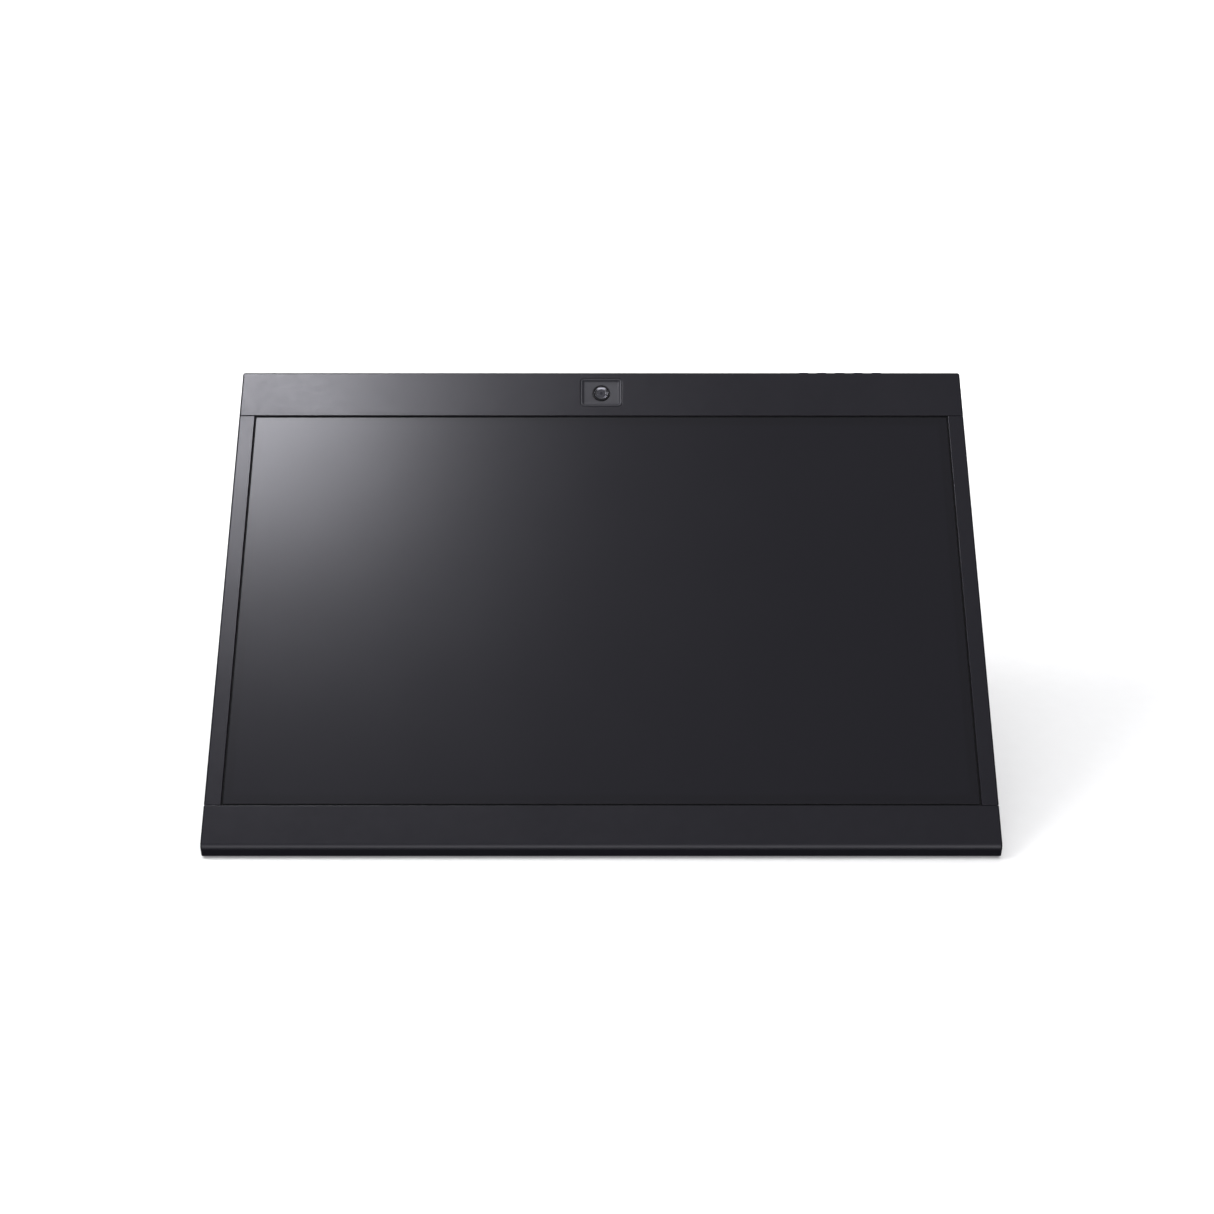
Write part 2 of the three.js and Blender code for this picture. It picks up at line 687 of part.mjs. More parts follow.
function cameraTray() {
  const width = CAMERA_WIDTH - 2 * CLEAR;
  const height = CAMERA_HEIGHT - 2 * CLEAR;
  const body = join(
    alongZ(roundedRect(width, height, CAMERA_CORNER - CLEAR, 0, cameraY), [cameraTrayBack, 0]),
    alongZ(roundedRect(width + 6, height + 6, 3, 0, cameraY), [cameraTrayBack, -WALL - CLEAR]),
  );
  const rim = 0.6; // flat rim round the dish
  const floor = roundedRect(
    width - 2 * (rim + CAMERA_SLOPE),
    height - 2 * (rim + CAMERA_SLOPE),
    CAMERA_CORNER - rim - 0.8,
    0,
    cameraY,
  );
  // The dish's walls slope outwards from its floor up to the front face.
  const dish = new THREE.ExtrudeGeometry(floor, {
    depth: 1,
    bevelEnabled: true,
    bevelThickness: CAMERA_DISH,
    bevelSize: CAMERA_SLOPE,
    bevelSegments: 1,
    curveSegments: 2,
  });
  return cut(body, solid(dish), rod(LENS_RADIUS + CLEAR, [cameraTrayBack - 1, 1], 0, cameraY, 24));
}

function cameraBarrel() {
  const high = cameraFloorZ + BARREL_PROUD;
  return turned(
    [
      [LENS_RADIUS - 1.3, high - BARREL_LENGTH],
      [LENS_RADIUS, high - BARREL_LENGTH],
      [LENS_RADIUS, high - 0.3],
      [LENS_RADIUS - 0.3, high],
      [LENS_RADIUS - 0.9, high],
      [LENS_RADIUS - 1.3, high - 0.5],
    ],
    0,
    cameraY,
  );
}

function cameraLens() {
  const radius = LENS_RADIUS - 1.3 - CLEAR;
  const edge = cameraFloorZ - 0.4;
  const rise = 1.5;
  const dome = Array.from({ length: 6 }, (_, i) => {
    const share = i / 5;
    return [radius * Math.cos((share * Math.PI) / 2), edge + rise * Math.sin((share * Math.PI) / 2)];
  });
  return turned([[0, edge - 1.5], [radius, edge - 1.5], ...dome], 0, cameraY);
}

const cameraBoardZ = [-13.6, -12.4];
const CAMERA_SOCKET_HEIGHT = 1.6;
function cameraBoard() {
  const barrelEnd = cameraFloorZ + BARREL_PROUD - BARREL_LENGTH;
  return join(
    alongZ(roundedRect(34, 24, 1.5, 0, cameraY), cameraBoardZ),
    slab(16, [cameraY - 8, cameraY + 8], [cameraBoardZ[1], barrelEnd - CLEAR]),
    slab(12, [cameraY - 11, cameraY - 6], [cameraBoardZ[0] - CAMERA_SOCKET_HEIGHT, cameraBoardZ[0]]),
  );
}

add("camera_tray", cameraTray(), FINISH.cameraFloor);
add("camera_barrel", cameraBarrel(), FINISH.frame);
add("camera_lens", cameraLens(), FINISH.lens);
add("camera_board", cameraBoard(), FINISH.circuit);

// ---------------------------------------------------------------- buttons
const BUTTON_NAMES = ["power_button", "menu_button", "up_button", "down_button", "input_button"];
const FLANGE_THICKNESS = 1.2;
const FLANGE_MARGIN = 1.1;
const STEM = 2.6;
const STEM_LENGTH = 3;
const SWITCH_SIZE = 6;
const SWITCH_HEIGHT = 3.2;
const BUTTON_BOARD_THICKNESS = 1.6;
const BUTTON_SOCKET_HEIGHT = 2;
const flangeTop = bodyTop - WALL - CLEAR;
const stemEnd = flangeTop - FLANGE_THICKNESS - STEM_LENGTH;
const switchTop = stemEnd - BUTTON_TRAVEL - CLEAR;
const buttonBoardTop = switchTop - SWITCH_HEIGHT;

function button(index) {
  const x = buttonX(index);
  return join(
    alongY(
      roundedRect(BUTTON_WIDTH, BUTTON_DEPTH, 0.9, x, buttonZ),
      [flangeTop - FLANGE_THICKNESS / 2, bodyTop + BUTTON_PROUD],
      2,
    ),
    slab(
      BUTTON_WIDTH + 2 * FLANGE_MARGIN,
      [flangeTop - FLANGE_THICKNESS, flangeTop],
      [buttonZ - BUTTON_DEPTH / 2 - FLANGE_MARGIN, -WALL - CLEAR],
      x,
    ),
    slab(STEM, [stemEnd, flangeTop - FLANGE_THICKNESS / 2], [buttonZ - STEM / 2, buttonZ + STEM / 2], x),
  );
}

function buttonBoard() {
  const length = (BUTTON_COUNT - 1) * BUTTON_PITCH + 22;
  const low = buttonBoardTop - BUTTON_BOARD_THICKNESS;
  const switches = BUTTON_NAMES.map((_, i) =>
    slab(
      SWITCH_SIZE,
      [buttonBoardTop - 0.2, switchTop],
      [buttonZ - SWITCH_SIZE / 2, buttonZ + SWITCH_SIZE / 2],
      buttonX(i),
    ),
  );
  const socket = slab(
    10,
    [low - BUTTON_SOCKET_HEIGHT, low + 0.2],
    [cableZ[0] - 1, cableZ[1] + 2],
    buttonRowX,
  );
  const plate = slab(length, [low, buttonBoardTop], [cableZ[0] - 2, -WALL - CLEAR], buttonRowX);
  return join(plate, socket, ...switches);
}

BUTTON_NAMES.forEach((name, i) => add(name, button(i), FINISH.frame));
add("button_board", buttonBoard(), FINISH.circuit);

// ---------------------------------------------------------------- chassis and electronics
const FLANGE_DEPTH = 5;
const CHASSIS_WINDOW = { width: 70, height: 40, corner: 6, x: 225, pitch: 110 };
const STANDOFF = { radius: 3, inset: 6 };
const TIMING_TOP_GAP = 34; // upper edge of the chassis to the timing board
const BOARD_GAP = 18; // timing board to the boards below it
const [MAIN_HEIGHT, TIMING_HEIGHT] = [130, 22];
const timingTop = chassisHigh - TIMING_TOP_GAP;
const mainTop = timingTop - TIMING_HEIGHT - BOARD_GAP;
const MAIN = { x: [-120, 70], y: [mainTop - MAIN_HEIGHT, mainTop] };
const POWER = { x: [85, 165], y: MAIN.y };
const TIMING = { x: [-90, 110], y: [timingTop - TIMING_HEIGHT, timingTop] };
const PROCESSOR = { x: -60, y: MAIN.y[0] + 65, rise: 1.8 };
const MEMORY = { x: 32, y: MAIN.y[0] + 68 };
const DISPLAY_CABLE_X = -60;
const COVER_CLEARANCE = 3; // between the tallest parts and the rear cover

// Standoffs carry each board, a clearance short of it.
const standoffs = (board) =>
  board.x.flatMap((x, i) =>
    board.y.map((y, j) =>
      rod(
        STANDOFF.radius,
        [boardFront + CLEAR, chassisZ[1]],
        x + (i ? -STANDOFF.inset : STANDOFF.inset),
        y + (j ? -STANDOFF.inset : STANDOFF.inset),
        8,
      ),
    ),
  );

function chassisPlate() {
  const width = openingWidth + CHASSIS_MARGIN;
  const flange = (y0, y1) => slab(width, [y0, y1], [chassisZ[0] - FLANGE_DEPTH, chassisZ[1]]);
  const { width: across, height, corner, x: middle, pitch } = CHASSIS_WINDOW;
  const windowOf = (hand, end) =>
    alongZ(
      roundedRect(across, height, corner, hand * middle, screenMiddle + (end * pitch) / 2),
      [chassisZ[0] - 1, chassisZ[1] + 1],
      2,
    );
  return cut(
    join(
      slab(width, [chassisLow, chassisHigh], chassisZ),
      flange(chassisLow, chassisLow + CHASSIS_THICKNESS),
      flange(chassisHigh - CHASSIS_THICKNESS, chassisHigh),
      ...[MAIN, POWER, TIMING].flatMap(standoffs),
    ),
    ...[-1, 1].flatMap((hand) => [windowOf(hand, -1), windowOf(hand, 1)]),
    ...coverScrews.map(([x, y]) =>
      rod(COVER_SCREW_RADIUS + CLEAR, [chassisZ[0] - 1, chassisZ[1] + 1], x, y),
    ),
  );
}

const plate = ({ x, y }) => block(x, y, boardZ);
// A chip or socket on the rear side of a board.
const chip = (width, height, x, y, rise) =>
  slab(width, [y - height / 2, y + height / 2], [boardZ[0] - rise, boardZ[0] + 0.2], x);
const can = (radius, x, y, rise) => rod(radius, [boardZ[0] - rise, boardZ[0] + 0.2], x, y);

// Sockets along a board's edges, this far in from them.
const EDGE_INSET = 4;

function mainBoard() {
  const [low, high] = [MAIN.y[0] + EDGE_INSET, MAIN.y[1] - EDGE_INSET];
  return join(
    plate(MAIN),
    chip(30, 30, PROCESSOR.x, PROCESSOR.y, PROCESSOR.rise),
    ...[-18, 0, 18].map((step) => chip(14, 11, -20, PROCESSOR.y + step, 1.2)),
    chip(12, 5, 0, high, CONNECTOR_HEIGHT),
    chip(5, 14, MAIN.x[1] - EDGE_INSET, MAIN.y[1] - 22, CONNECTOR_HEIGHT),
    chip(40, 6, DISPLAY_CABLE_X, high, CONNECTOR_HEIGHT),
    chip(40, 6, -20, low + 20, CONNECTOR_HEIGHT),
    can(4, 30, high - 12, 8),
    can(4, 42, high - 12, 8),
  );
}

function powerBoard() {
  const [x, y] = [POWER.x[0], POWER.y[0]];
  const tall = boardZ[0] - coverInside - COVER_CLEARANCE;
  return join(
    plate(POWER),
    chip(26, 26, x + 21, y + 30, 0.85 * tall),
    chip(16, 16, x + 21, y + 62, 0.6 * tall),
    can(6, x + 53, y + 22, 0.9 * tall),
    can(6, x + 53, y + 38, 0.9 * tall),
    can(5, x + 53, y + 56, 0.75 * tall),
    chip(10, 10, x + 21, y + 92, 0.2 * tall),
    chip(30, 6, x + 41, y + EDGE_INSET, CONNECTOR_HEIGHT),
  );
}

const timingBoard = () =>
  join(
    plate(TIMING),
    chip(12, 12, 40, TIMING.y[0] + 11, 1.4),
    chip(40, 6, DISPLAY_CABLE_X, TIMING.y[0] + EDGE_INSET, CONNECTOR_HEIGHT),
    chip(30, 6, 85, TIMING.y[1] - EDGE_INSET, CONNECTOR_HEIGHT),
  );

// The board behind the ports, which it carries on its rear side.
function ioBoard() {
  const front = PORT_Z + 6 + BOARD_THICKNESS;
  const low = bayTop + WALL + 1;
  return slab(BAY_WIDTH - 30, [low, low + 28], [front - BOARD_THICKNESS, front], -4);
}

function heatSink() {
  const [fins, width, height, base] = [9, 48, 48, 2.5];
  const front = boardZ[0] - PROCESSOR.rise - CLEAR;
  const back = coverInside + COVER_CLEARANCE;
  const [low, high] = [PROCESSOR.y - height / 2, PROCESSOR.y + height / 2];
  const pitch = width / fins;
  const slots = Array.from({ length: fins - 1 }, (_, i) => {
    const x = PROCESSOR.x - width / 2 + pitch * (i + 1);
    return slab(pitch * 0.6, [low - 1, high + 1], [back - 1, front - base], x);
  });
  return cut(slab(width, [low, high], [back, front], PROCESSOR.x), ...slots);
}

function shieldCan() {
  const wall = 0.6;
  const [width, height] = [36, 48];
  const z = [boardZ[0] - 4, boardZ[0] - CLEAR];
  const across = (grow) => [MEMORY.y - height / 2 - grow, MEMORY.y + height / 2 + grow];
  return cut(
    slab(width, across(0), z, MEMORY.x),
    slab(width - 2 * wall, across(-wall), [z[0] + wall, z[1] + 1], MEMORY.x),
  );
}

const ribbon = (x, width, path) =>
  alongX(outline(strip(path, CABLE_THICKNESS, CABLE_THICKNESS)), [x - width / 2, x + width / 2], 2);

// A flat cable from the camera board down the rear side of the main board.
function cameraCable() {
  const start = cameraY - 8.5;
  return ribbon(0, 10, [
    [MAIN.y[1] - EDGE_INSET, cableZ[0]],
    [start, cableZ[0]],
    [start, cameraBoardZ[0] - CAMERA_SOCKET_HEIGHT - CLEAR],
  ]);
}

const displayCable = () =>
  slab(36, [MAIN.y[1] - EDGE_INSET - 2, TIMING.y[0] + EDGE_INSET + 2], cableZ, DISPLAY_CABLE_X);

// A flat cable that drops from the button board, turns across and ends on the main board.
function buttonCable() {
  const width = 8;
  const turn = MAIN.y[1] + 5;
  const low = buttonBoardTop - BUTTON_BOARD_THICKNESS - BUTTON_SOCKET_HEIGHT - CLEAR;
  const [near, far] = [MAIN.x[1] - width, MAIN.x[1]];
  return alongZ(
    outline([
      [near, MAIN.y[1] - 24],
      [far, MAIN.y[1] - 24],
      [far, turn],
      [buttonRowX + width / 2, turn],
      [buttonRowX + width / 2, low],
      [buttonRowX - width / 2, low],
      [buttonRowX - width / 2, turn + width],
      [near, turn + width],
    ]),
    cableZ,
  );
}

function speaker(hand) {
  const x = hand * speakerX;
  const [low, high] = [coverInside + 1.5, chassisZ[0] - FLANGE_DEPTH - 1];
  const box = alongZ(roundedRect(70, 30, 4, x, SPEAKER_Y), [low + 3, high], 2);
  const rim = rod(12, [low, low + 4], x, SPEAKER_Y, 24);
  const cone = turned([[0, low - 1], [9.5, low - 1], [0, low + 2.5]], x, SPEAKER_Y);
  return cut(join(box, rim), cone);
}

// Each connector is a metal shell, open towards the bay, with what a plug goes over inside it.
function socket({ x, width, height, corner }) {
  const [mouth, back] = [bayTop - 0.6, bayTop + 12];
  const wall = 0.5;
  const inside = roundedRect(width - 2 * wall, height - 2 * wall, Math.max(corner - wall, 0.1), x, PORT_Z);
  const shell = cut(
    alongY(roundedRect(width, height, corner, x, PORT_Z), [mouth, back], 2),
    alongY(inside, [mouth - 1, back - 4], 2),
  );
  const tongue = slab(width * 0.62, [mouth + 1.5, back - 2], [PORT_Z - 0.5, PORT_Z + 0.5], x);
  return join(shell, tongue);
}

function powerSocket({ x, width, height, corner }) {
  const [mouth, back] = [bayTop - 0.6, bayTop + 14];
  const round = (radius, [y0, y1]) => {
    const circle = new THREE.Shape().absarc(x, PORT_Z, radius, 0, 2 * Math.PI);
    return alongY(circle, [y0, y1], 10);
  };
  return join(
    cut(
      alongY(roundedRect(width, height, corner, x, PORT_Z), [mouth, back], 2),
      round(3.2, [mouth - 1, back - 4]),
    ),
    round(1.1, [mouth + 1, back - 3]),
  );
}

add("chassis_plate", chassisPlate(), FINISH.steel);
add("main_board", mainBoard(), FINISH.circuit);
add("power_board", powerBoard(), FINISH.circuit);
add("timing_board", timingBoard(), FINISH.circuit);
add("io_board", ioBoard(), FINISH.circuit);
add("heat_sink", heatSink(), FINISH.steel);
add("shield_can", shieldCan(), FINISH.steel);
add("camera_cable", cameraCable(), FINISH.cable);
add("display_cable", displayCable(), FINISH.cable);
add("button_cable", buttonCable(), FINISH.cable);
add("left_speaker", speaker(-1), FINISH.speaker);
add("right_speaker", speaker(1), FINISH.speaker);
add("hdmi_port", socket(PORTS[0]), FINISH.port);
add("usb_c_port", socket(PORTS[1]), FINISH.port);
add("dc_jack", powerSocket(PORTS[2]), FINISH.port);

export default display;
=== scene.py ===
"""The looks of a desktop smart display that leans back on two legs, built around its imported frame.

New pieces are surfaces worked out as whole arrays of points in the panel frame: x runs across, v up the
screen and w out of it. The panel frame and the world share their origin. Lengths are in metres.
"""

import json
import math

import bmesh
import bpy
import numpy as np
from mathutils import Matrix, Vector


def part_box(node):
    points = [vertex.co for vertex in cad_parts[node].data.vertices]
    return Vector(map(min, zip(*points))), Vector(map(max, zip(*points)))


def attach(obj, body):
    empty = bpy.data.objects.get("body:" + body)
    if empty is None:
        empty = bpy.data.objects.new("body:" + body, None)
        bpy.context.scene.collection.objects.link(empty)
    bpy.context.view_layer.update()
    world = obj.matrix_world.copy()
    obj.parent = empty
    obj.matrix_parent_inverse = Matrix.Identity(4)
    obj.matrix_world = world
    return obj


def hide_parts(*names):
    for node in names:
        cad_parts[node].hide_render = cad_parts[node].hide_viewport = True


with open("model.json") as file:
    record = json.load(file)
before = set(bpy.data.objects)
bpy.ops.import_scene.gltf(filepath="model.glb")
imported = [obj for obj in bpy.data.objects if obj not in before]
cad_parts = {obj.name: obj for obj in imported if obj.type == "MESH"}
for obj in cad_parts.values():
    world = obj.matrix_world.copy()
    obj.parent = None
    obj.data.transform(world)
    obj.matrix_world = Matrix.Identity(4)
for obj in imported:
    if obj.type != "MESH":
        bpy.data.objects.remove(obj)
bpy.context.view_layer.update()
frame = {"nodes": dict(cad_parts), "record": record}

MM = 0.001
CLEAR = 0.3 * MM  # gap that the frame keeps between pieces that seat on each other
SAME = 0.01 * MM  # closer than this is the same place
MERGED = 0.002 * MM  # points closer than this become one
SHARP = math.radians(25.0)  # edges that turn by more than this can be rounded

BODY_OF = {node: body for body, nodes in frame["record"]["behaviour"]["bodies"].items() for node in nodes}
LENS_EYE = 0.69  # the radius of the lens's inner glass, as a share of the lens's
BUTTONS = ["power_button", "menu_button", "up_button", "down_button", "input_button"]


# ---------------------------------------------------------------- the panel frame
def panel_axes():
    """Rows are the panel's x, v and w directions in the world. The bracket's face looks straight back."""
    back = next(m["axis"] for m in frame["record"]["mounts"] if m["name"] == "wall_bracket_face")
    out = -np.array(back) / np.linalg.norm(back)
    across = np.array([1.0, 0.0, 0.0])
    return np.stack([across, np.cross(out, across), out])


PANEL = panel_axes()
WORLD = np.eye(3)
TILT = math.atan2(PANEL[1, 2], PANEL[1, 1])
FACE = (0, 1, 2)  # loops drawn in x and v, stacked along w
TOP = (0, 2, 1)  # loops drawn in x and w, stacked along v


def positions(mesh):
    """A mesh's vertices as an array, one row each."""
    flat = np.empty(len(mesh.vertices) * 3)
    mesh.vertices.foreach_get("co", flat)
    return flat.reshape(-1, 3)


def panel_points(node):
    """A CAD node's vertices in the panel frame."""
    return positions(frame["nodes"][node].data) @ PANEL.T


def extent(points):
    """The lowest and highest corner of some points."""
    return points.min(0), points.max(0)


def panel_box(node):
    return extent(panel_points(node))


def panel_corner(w, y=None, z=None):
    """(v, w) where the plane at w meets the world plane at y, or the one at z."""
    if z is None:
        z = (w - y * PANEL[2, 1]) / PANEL[2, 2]
    if y is None:
        y = (w - z * PANEL[2, 2]) / PANEL[2, 1]
    return np.array([y * PANEL[1, 1] + z * PANEL[1, 2], w])


# ---------------------------------------------------------------- camera, in front and a little above
CAMERA_PLACE = (0.0, -1.0260, 0.6575)
CAMERA_PITCH = math.radians(26.66)
CAMERA_LENS = 40.68
CAMERA_SHIFT = 0.0047


def make_camera():
    data = bpy.data.cameras.new("camera")
    data.lens = CAMERA_LENS
    data.sensor_width = 36.0
    data.shift_x = CAMERA_SHIFT
    camera = bpy.data.objects.new("camera", data)
    camera.location = CAMERA_PLACE
    camera.rotation_euler = (math.pi / 2 - CAMERA_PITCH, 0.0, 0.0)
    bpy.context.scene.collection.objects.link(camera)
    bpy.context.scene.camera = camera


make_camera()


# ---------------------------------------------------------------- shader nodes
class Value:
    """One output socket. Arithmetic on it adds Math nodes."""

    def __init__(self, nodes, socket):
        self.nodes = nodes
        self.socket = socket

    def math(self, operation, first, second=0.0):
        return self.nodes.node("ShaderNodeMath", {"operation": operation}, {0: first, 1: second})

    def __add__(self, other):
        return self.math("ADD", self, other)

    def __sub__(self, other):
        return self.math("SUBTRACT", self, other)

    def __rsub__(self, other):
        return self.math("SUBTRACT", other, self)

    def __mul__(self, other):
        return self.math("MULTIPLY", self, other)

    def __truediv__(self, other):
        return self.math("DIVIDE", self, other)

    __radd__ = __add__
    __rmul__ = __mul__

    def size(self):
        return self.math("ABSOLUTE", self)

    def root(self):
        return self.math("SQRT", self)

    def within(self, span):
        """This value's remainder in steps of span."""
        return self.math("FLOORED_MODULO", self, span)

    def highest(self, other):
        return self.math("MAXIMUM", self, other)

    def rising(self, low, high):
        """0 below low, 1 above high and a smooth step between them."""
        return self.nodes.node(
            "ShaderNodeMapRange",
            {"interpolation_type": "SMOOTHSTEP"},
            {"Value": self, "From Min": low, "From Max": high},
        )


class Nodes:
    """Adds nodes to one node tree: a type, then its settings, then the values or links of its sockets."""

    def __init__(self, tree):
        self.tree = tree
        tree.nodes.clear()

    def node(self, kind, settings=None, inputs=None, output=0):
        node = self.tree.nodes.new(kind)
        for name, setting in (settings or {}).items():
            if name == "stops":
                self.set_stops(node.color_ramp.elements, setting)
            else:
                setattr(node, name, setting)
        self.feed(node, inputs or {})
        return Value(self, node.outputs[output]) if node.outputs else node

    def feed(self, node, inputs):
        for name, value in inputs.items():
            if isinstance(value, Value):
                self.tree.links.new(value.socket, node.inputs[name])
            else:
                node.inputs[name].default_value = value

    def set_stops(self, elements, stops):
        while len(elements) < len(stops):
            elements.new(1.0)
        for element, (place, level) in zip(elements, stops):
            element.position = place
            element.color = (level, level, level, 1.0)

    def mixed(self, share, first, second):
        """The colour between first and second."""
        return self.node("ShaderNodeMix", {"data_type": "RGBA"}, {0: share, 6: first, 7: second}, output=2)

    def parts(self, vector):
        """A vector's three values."""
        split = self.node("ShaderNodeSeparateXYZ", None, {0: vector})
        outputs = split.socket.node.outputs
        return [Value(self, socket) for socket in outputs]


class Finish(Nodes):
    """A material with a Principled shader. Patterns read the piece's own coordinates, in metres."""

    def __init__(self, name, **constants):
        self.material = bpy.data.materials.new(name)
        self.material.use_nodes = True
        super().__init__(self.material.node_tree)
        self.place = self.node("ShaderNodeTexCoord", output=3)
        self.surface = self.node("ShaderNodeBsdfPrincipled")
        self.shader = self.surface.socket.node
        self.node("ShaderNodeOutputMaterial", None, {"Surface": self.surface})
        self.wear(**constants)

    def wear(self, **inputs):
        """Sets or links the shader's sockets: base_color stands for Base Color, and so on."""
        titles = {name: name.replace("_", " ").title().replace("Ior", "IOR") for name in inputs}
        self.feed(self.shader, {titles[name]: value for name, value in inputs.items()})

    def noise(self, scale, detail=2.0, where=None):
        return self.node(
            "ShaderNodeTexNoise",
            None,
            {"Vector": where or self.place, "Scale": scale, "Detail": detail},
        )

    def cells(self, scale):
        return self.node("ShaderNodeTexVoronoi", None, {"Vector": self.place, "Scale": scale})

    def turned(self, middle=(0.0, 0.0, 0.0)):
        """The piece's coordinates turned into the panel frame, measured from a point in that frame."""
        return self.node(
            "ShaderNodeMapping",
            {"vector_type": "POINT"},
            {"Vector": self.place, "Location": tuple(-m for m in middle), "Rotation": (-TILT, 0.0, 0.0)},
        )

    def relief(self, height, distance):
        """Bumps that rise by distance where height goes from 0 to 1."""
        bump = self.node("ShaderNodeBump", None, {"Height": height, "Distance": distance, "Strength": 1.0})
        self.wear(normal=bump)


def tone(colour, share):
    """A colour made lighter or darker, with its alpha."""
    return (colour[0] * share, colour[1] * share, colour[2] * share, 1.0)


# ---------------------------------------------------------------- finishes
def moulded(name, colour, roughness, grain=0.35 * MM, depth=0.02 * MM, **constants):
    """Moulded plastic: a fine spark-eroded grain, with slow drifts of tone and gloss."""
    finish = Finish(name, **constants)
    drift = finish.noise(14.0, 3.0)
    rub = finish.noise(160.0, 5.0)
    pits = finish.noise(1.0 / grain, 2.0)
    finish.wear(
        base_color=finish.mixed(drift * 0.6 + rub * 0.4, tone(colour, 0.9), tone(colour, 1.1)),
        roughness=roughness + 0.06 * (drift - 0.5) + 0.08 * (rub - 0.5),
    )
    finish.relief(pits, depth)
    return finish.material


def anti_glare(name, middle, half):
    """A matte film over a dark display: a frosted sparkle, and a black mask round the lit area."""
    finish = Finish(name, specular_ior_level=0.5)
    x, v, _ = finish.parts(finish.turned(middle))
    mask_width = 7.5 * MM
    past = (x.size() - (half[0] - mask_width)).highest(v.size() - (half[1] - mask_width))
    mask = past.rising(-0.2 * MM, 0.2 * MM)
    frost = finish.noise(2600.0, 2.0)
    smear = finish.noise(9.0, 4.0)
    finish.wear(
        base_color=finish.mixed(mask, (0.0090, 0.0086, 0.0120, 1.0), (0.0080, 0.0077, 0.0104, 1.0)),
        roughness=0.31 + 0.05 * (smear - 0.5) + 0.05 * (frost - 0.5),
    )
    finish.relief(frost, 0.008 * MM)
    return finish.material


def smooth_black(name, colour, roughness):
    """Smooth moulded plastic with faint flow marks and a little dust."""
    finish = Finish(name)
    flow = finish.noise(70.0, 3.0)
    dust = finish.cells(1400.0).rising(0.16, 0.05) * finish.noise(300.0, 2.0).rising(0.58, 0.7)
    finish.wear(
        base_color=finish.mixed(dust * 0.35, finish.mixed(flow, tone(colour, 0.92), tone(colour, 1.08)),
                                (0.20, 0.20, 0.21, 1.0)),
        roughness=roughness + 0.10 * (flow - 0.5) + 0.25 * dust,
    )
    finish.relief(flow, 0.01 * MM)
    return finish.material


def lens_glass(name, middle, radius):
    """A coated lens: a dark pupil and a stepped iris under clear glass, in a polished dish."""
    finish = Finish(name, ior=1.7, coat_roughness=0.03)
    x, v, _ = finish.parts(finish.turned(middle))
    reach = (x * x + v * v).root() / radius
    steps = (reach * 9.0).within(1.0).rising(0.35, 0.65)
    dish = reach.rising(LENS_EYE - 0.01, LENS_EYE + 0.005)
    pupil = reach.rising(0.30, 0.18)
    iris = finish.mixed(steps, (0.030, 0.030, 0.036, 1.0), (0.040, 0.040, 0.048, 1.0))
    inner = finish.mixed(pupil, iris, (0.014, 0.014, 0.020, 1.0))
    smear = finish.noise(900.0, 3.0)
    finish.wear(
        base_color=finish.mixed(dish, inner, (0.30, 0.30, 0.32, 1.0)),
        metallic=0.9 * dish,
        roughness=0.16 + 0.04 * dish + 0.05 * (smear - 0.5),
        coat_weight=0.5 * (1.0 - dish),
    )
    return finish.material


def pressed_metal(name, colour, roughness, stretch=(1.0, 1.0, 1.0)):
    """Sheet metal with rolling lines, drawn out along one direction, and darker blotches."""
    finish = Finish(name, metallic=1.0)
    drawn = finish.node(
        "ShaderNodeMapping",
        {"vector_type": "POINT"},
        {"Vector": finish.turned(), "Scale": stretch},
    )
    lines = finish.noise(900.0, 4.0, drawn)
    blotch = finish.noise(35.0, 4.0)
    finish.wear(
        base_color=finish.mixed(blotch * 0.7 + lines * 0.3, tone(colour, 0.78), tone(colour, 1.08)),
        roughness=roughness + 0.18 * (blotch - 0.5) + 0.12 * (lines - 0.5),
    )
    finish.relief(lines, 0.02 * MM)
    return finish.material


def powder_coat(name, colour, roughness):
    """Powder-coated steel: an orange-peel skin with a few fine specks."""
    finish = Finish(name)
    peel = finish.noise(620.0, 2.0)
    drift = finish.noise(20.0, 3.0)
    speck = finish.cells(900.0).rising(0.12, 0.04)
    finish.wear(
        base_color=finish.mixed(speck * 0.4, finish.mixed(drift, tone(colour, 0.88), tone(colour, 1.12)),
                                (0.09, 0.09, 0.095, 1.0)),
        roughness=roughness + 0.10 * (peel - 0.5) + 0.06 * (drift - 0.5),
    )
    finish.relief(peel, 0.06 * MM)
    return finish.material


def rubber(name, colour):
    """Soft rubber: fully matte, with a fine pitted skin and paler dust."""
    finish = Finish(name)
    pits = finish.noise(1800.0, 3.0)
    dust = finish.noise(240.0, 5.0).rising(0.5, 0.75)
    finish.wear(
        base_color=finish.mixed(dust * 0.3, tone(colour, 1.0), (0.06, 0.058, 0.055, 1.0)),
        roughness=0.86 + 0.1 * (pits - 0.5),
    )
    finish.relief(pits, 0.04 * MM)
    return finish.material


def black_oxide(name):
    """Blackened screw steel, whose worn spots show the metal."""
    finish = Finish(name, metallic=0.9)
    worn = finish.noise(700.0, 5.0).rising(0.56, 0.72)
    finish.wear(
        base_color=finish.mixed(worn, (0.035, 0.035, 0.039, 1.0), (0.16, 0.16, 0.17, 1.0)),
        roughness=0.34 + 0.2 * worn,
    )
    finish.relief(finish.noise(2500.0), 0.01 * MM)
    return finish.material


